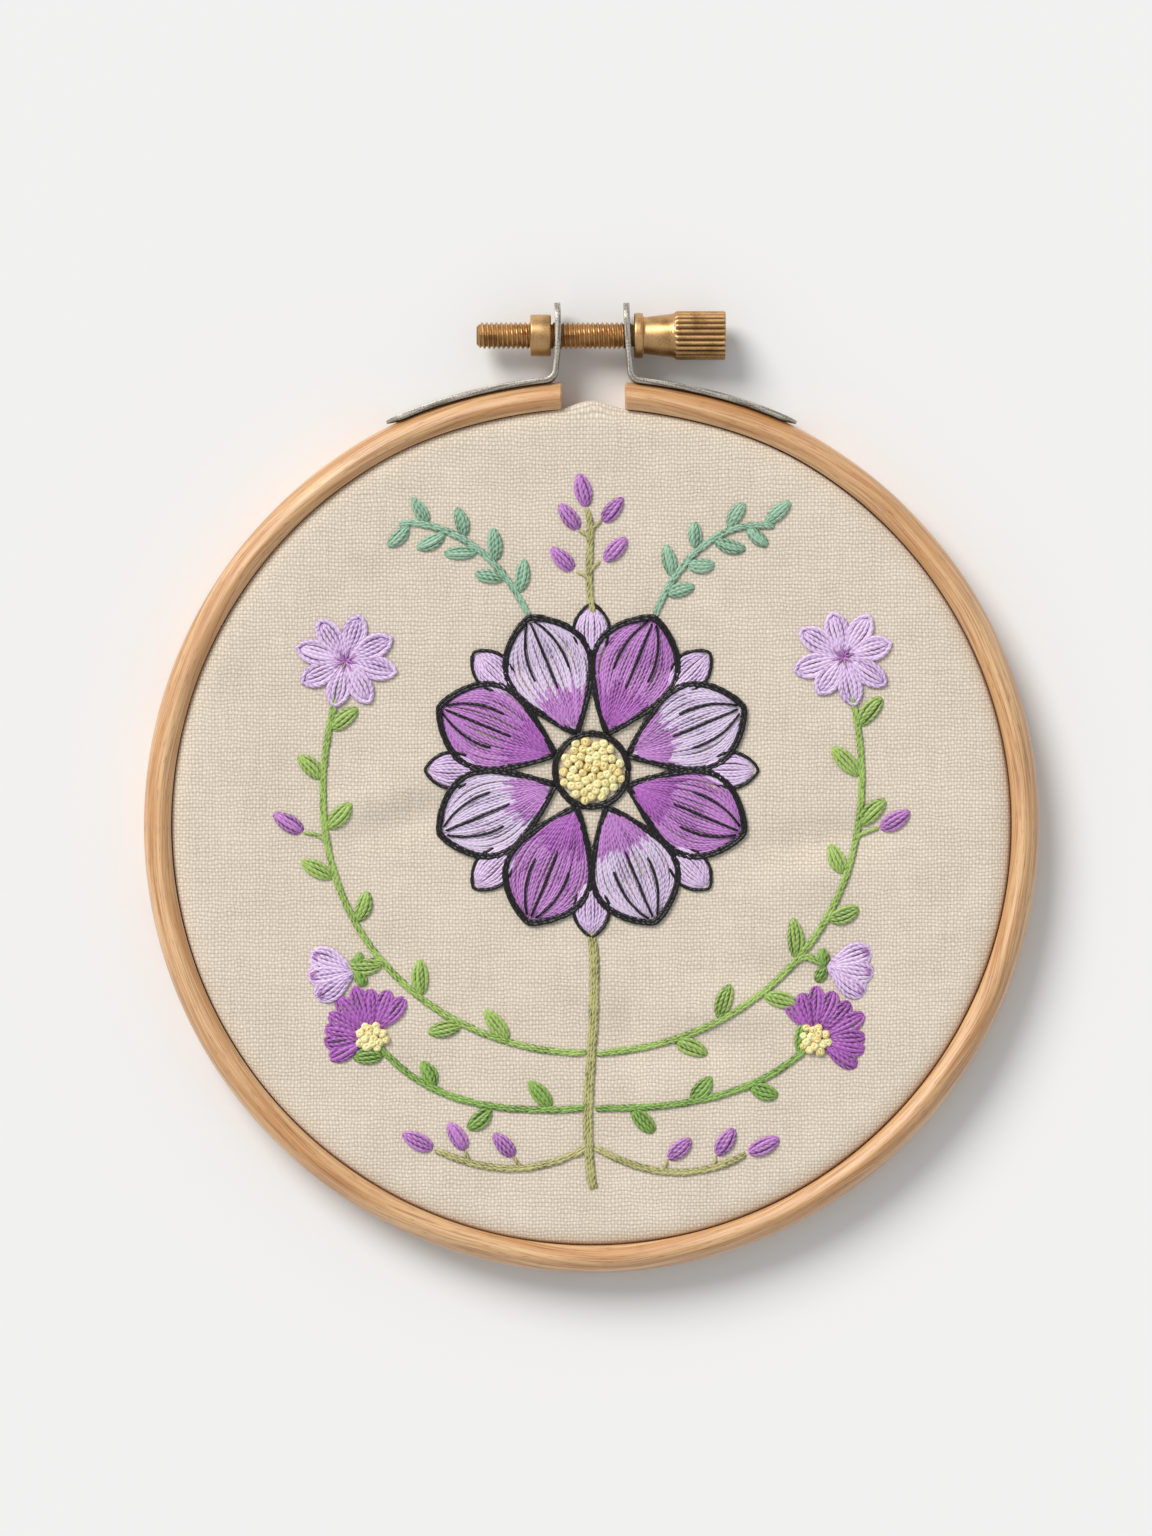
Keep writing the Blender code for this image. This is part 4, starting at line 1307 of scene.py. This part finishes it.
class HOOPART_OT_small_flowers(Operator):
    """The small flowers: looped stars, half daisies, tulips and buds in straight and satin stitch"""

    bl_idname = "hoopart.small_flowers"
    bl_label = "Small flowers"

    def execute(self, context):
        sizes = settings().stitch
        rng = np.random.default_rng(sizes.seed + 3)
        strand = mm(sizes.leaf)
        makers = {"star": self.star, "fan": self.half_daisy, "bud": self.bud, "tulip": self.tulip}
        _, _, blooms = plan_posy()
        for bloom in blooms:
            makers[bloom.kind](rng, bloom, np.array([bloom.x, bloom.y]), strand)
        finish_piece("small_flowers_lilac_floss", "mid_lilac")
        finish_piece("half_daisies_violet_floss", "deep_violet")
        finish_piece("buds_purple_floss", "purple")
        finish_piece("sepals_green_floss", "leaf_green")
        return {"FINISHED"}

    def star(self, rng, bloom, foot, strand):
        """Eight looped petals about a centre, with dark stitches at its heart and along some petals."""
        for petal in range(8):
            heading = bloom.heading + TURN * petal / 8 + rng.uniform(-0.08, 0.08)
            reach = bloom.size * rng.uniform(0.88, 1.06)
            width = bloom.size * 0.42
            base = foot + 0.3 * unit(heading)
            fill_leaf("small_flowers_lilac_floss", rng, base, heading, reach, width, strand, 1, 1.5)
            loop = leaf_edge(base, heading, reach + 0.2, width * 1.1, 1.5)
            stem_stitches("small_flowers_lilac_floss", rng, loop, strand, reach * 0.8, 0.05, 1, 0.1)
            t = 0.38 * STEPS[None]
            dark = leaf_shape(foot, heading, bloom.size, 0.1, t, 0.0, 1.0)
            lay("buds_purple_floss", dark, strand * 0.6, 0.4)

    def half_daisy(self, rng, bloom, foot, strand):
        """Nine petals spread over a little less than half a turn about the heading."""
        for petal in range(9):
            heading = bloom.heading + math.radians(20 * (petal - 4) + rng.uniform(-3, 3))
            base = foot + 1.2 * unit(heading)
            reach = bloom.size * (1 - 0.02 * abs(petal - 4)) * rng.uniform(0.9, 1.06)
            fill_leaf("half_daisies_violet_floss", rng, base, heading, reach, 2.3, strand, 1, 1.7)

    def bud(self, rng, bloom, foot, strand):
        """One plump satin bud."""
        size = bloom.size
        fill_leaf(
            "buds_purple_floss", rng, foot, bloom.heading, size, size * 0.42, strand, fullness=0.9, pad=0.45
        )

    def tulip(self, rng, bloom, foot, strand):
        """Three overlapping petals that open from one foot, with dark tips and a pair of sepals."""
        for spread in (-27, 27, 0):
            heading = bloom.heading + math.radians(spread)
            fill_leaf("small_flowers_lilac_floss", rng, foot, heading, bloom.size, 3.6, strand, 1, 1.8)
            for share in (-0.3, 0.3):
                dark = leaf_shape(foot, heading, bloom.size, 3.0, 0.74 + 0.2 * STEPS[None], share, 1.7)
                lay("buds_purple_floss", dark, strand * 0.6, 0.42)
        for spread in (-110, 110):
            heading = bloom.heading + math.radians(spread)
            fill_leaf("sepals_green_floss", rng, foot, heading, bloom.size * 0.36, 1.3, strand, 1, 1.0)


class HOOPART_OT_knots(Operator):
    """The French knots: a heap in the open flower and a small one at the foot of each half daisy"""

    bl_idname = "hoopart.knots"
    bl_label = "French knots"

    def execute(self, context):
        sizes = settings().stitch
        rng = np.random.default_rng(sizes.seed + 4)
        centres = [self.cluster(rng, FLOWER_CENTRE, 4.5, 50)]
        for bloom in plan_posy()[2]:
            if bloom.kind == "fan":
                centres.append(self.cluster(rng, (bloom.x, bloom.y), 2.1, 15))
        points, uv = knots(np.concatenate(centres), mm(sizes.knot), rng)
        make_stitches("knots_yellow_floss", "pale_yellow", points, uv)
        return {"FINISHED"}

    def cluster(self, rng, centre, reach, count):
        """Knots set by the golden angle, so they fill a circle evenly, with the middle a little raised."""
        number = np.arange(count)
        share = np.sqrt((number + 0.5) / count)
        turn = number * math.pi * (3 - math.sqrt(5))
        place = centre + reach * share[:, None] * np.stack([np.cos(turn), np.sin(turn)], -1)
        return np.column_stack([place + rng.normal(0, 0.08, (count, 2)), 0.35 * (1 - share**2)])


class HOOPART_OT_back_threads(Operator):
    """The back of the work: the threads that run from the end of one stitch to the start of the next"""

    bl_idname = "hoopart.back_threads"
    bl_label = "Back threads"

    def execute(self, context):
        for piece, groups in laid.items():
            runs = []
            for paths, widths, _ in groups:
                start, end = paths[:-1, -1], paths[1:, 0]
                near = np.linalg.norm(end - start, axis=1) < BACK_RUN_LIMIT
                runs.append((start[near], end[near], widths[:-1][near]))
            start, end, widths = (np.concatenate(part) for part in zip(*runs))
            if len(start):
                thread = bpy.data.objects[piece].data.materials[0].name.removeprefix("stranded cotton ")
                self.make_runs(f"back_of_{piece}", thread, start, end, widths)
        return {"FINISHED"}

    def make_runs(self, piece, thread, start, end, widths):
        """Straight runs on the linen's back, each a flattened tube that dips into the cloth at its ends."""
        path = start[:, None] + (end - start)[:, None] * STEPS[:, None]
        ground = cloth_height(path[..., 0], path[..., 1]) - mm(settings().cloth.thickness)
        height = ground - widths[:, None] * 0.3 * ARCH + 0.15 * (1 - ARCH)
        centre = np.concatenate([path, height[..., None]], -1)
        make_stitches(piece, thread, *tubes(centre, widths[:, None] / 2 * (0.6 + 0.4 * ARCH), 0.7))


# Stage


class HOOPART_OT_stage(Operator):
    """The stage: a pale floor, a soft light from the upper left and a camera straight above"""

    bl_idname = "hoopart.stage"
    bl_label = "Stage"

    # The photo is 1152 by 1536 pixels; its ring is centred at (591.5, 825.2) with a radius of 447.6
    image_width = 1152
    image_height = 1536
    ring_x = 591.5
    ring_y = 825.2
    ring_pixels = 447.6

    def execute(self, context):
        self.make_floor()
        self.make_lights(context.scene)
        self.make_camera(context.scene)
        return {"FINISHED"}

    def make_floor(self):
        half = 3.0
        mesh = bpy.data.meshes.new("floor")
        corners = [(-half, -half, 0), (half, -half, 0), (half, half, 0), (-half, half, 0)]
        mesh.from_pydata(corners, [], [(0, 1, 2, 3)])
        material, _, shader = start_material("matt white card", Roughness=0.9, Specular_IOR_Level=0.15)
        shader.inputs["Base Color"].default_value = settings().finish.floor
        mesh.materials.append(material)
        add_object("floor", mesh)

    def make_lights(self, scene):
        """A wide soft sun 43 degrees up on the upper left, and an even pale sky."""
        world = bpy.data.worlds.new("studio")
        world.use_nodes = True
        background = world.node_tree.nodes["Background"]
        background.inputs["Color"].default_value = linear("#F1F5F7")
        background.inputs["Strength"].default_value = 0.55
        scene.world = world
        light = bpy.data.lights.new("window", "SUN")
        light.energy = 2.3
        light.angle = math.radians(30)
        light.color = linear("#FFFBF8")[:3]
        window = add_object("window", light)
        toward = Vector((-0.80, 1.0, 1.2))
        window.rotation_euler = toward.to_track_quat("Z", "Y").to_euler()
        scene.view_settings.view_transform = "Standard"

    def make_camera(self, scene):
        """Straight above, so far off that the ring's radius in the photo fixes the lens."""
        camera = bpy.data.cameras.new("camera")
        holder = add_object("camera", camera)
        scene.camera = holder
        above = 1.2
        per_pixel = HOOP_RADIUS * MM / self.ring_pixels
        camera.sensor_width = 36.0
        camera.lens = camera.sensor_width * (above - HOOP_DEPTH * MM * 0.7) / (self.image_height * per_pixel)
        camera.clip_end = 10.0
        x = (self.image_width / 2 - self.ring_x) * per_pixel
        y = CENTRE_Y * MM + (self.ring_y - self.image_height / 2) * per_pixel
        holder.location = (x, y, above)


class HOOPART_PT_panel(Panel):
    """Lists the pieces of the embroidered picture"""

    bl_idname = "HOOPART_PT_panel"
    bl_label = "Hoop art"
    bl_space_type = "VIEW_3D"
    bl_region_type = "UI"
    bl_category = "Hoop art"

    def draw(self, context):
        for operator in OPERATORS:
            self.layout.operator(operator.bl_idname)
        for group in HoopArtSettings.__annotations__:
            box = self.layout.box()
            box.label(text=group.title())
            values = getattr(context.scene.hoop_art, group)
            for name in values.__annotations__:
                box.prop(values, name)


OPERATORS = (
    HOOPART_OT_stage,
    HOOPART_OT_outer_hoop,
    HOOPART_OT_inner_hoop,
    HOOPART_OT_linen,
    HOOPART_OT_brackets,
    HOOPART_OT_clamp_nut,
    HOOPART_OT_thumbscrew,
    HOOPART_OT_open_flower,
    HOOPART_OT_stems,
    HOOPART_OT_leaves,
    HOOPART_OT_small_flowers,
    HOOPART_OT_knots,
    HOOPART_OT_back_threads,
)
GROUPS = (HoopSizes, ClothSizes, ClampSizes, StitchSizes, Finishes, Threads, HoopArtSettings)
CLASSES = GROUPS + OPERATORS + (HOOPART_PT_panel,)


def register():
    for each in CLASSES:
        bpy.utils.register_class(each)
    bpy.types.Scene.hoop_art = PointerProperty(type=HoopArtSettings)


def unregister():
    del bpy.types.Scene.hoop_art
    for each in reversed(CLASSES):
        bpy.utils.unregister_class(each)


def main():
    register()
    laid.clear()
    for operator in OPERATORS:
        family, name = operator.bl_idname.split(".")
        getattr(getattr(bpy.ops, family), name)()


if __name__ == "__main__":
    main()
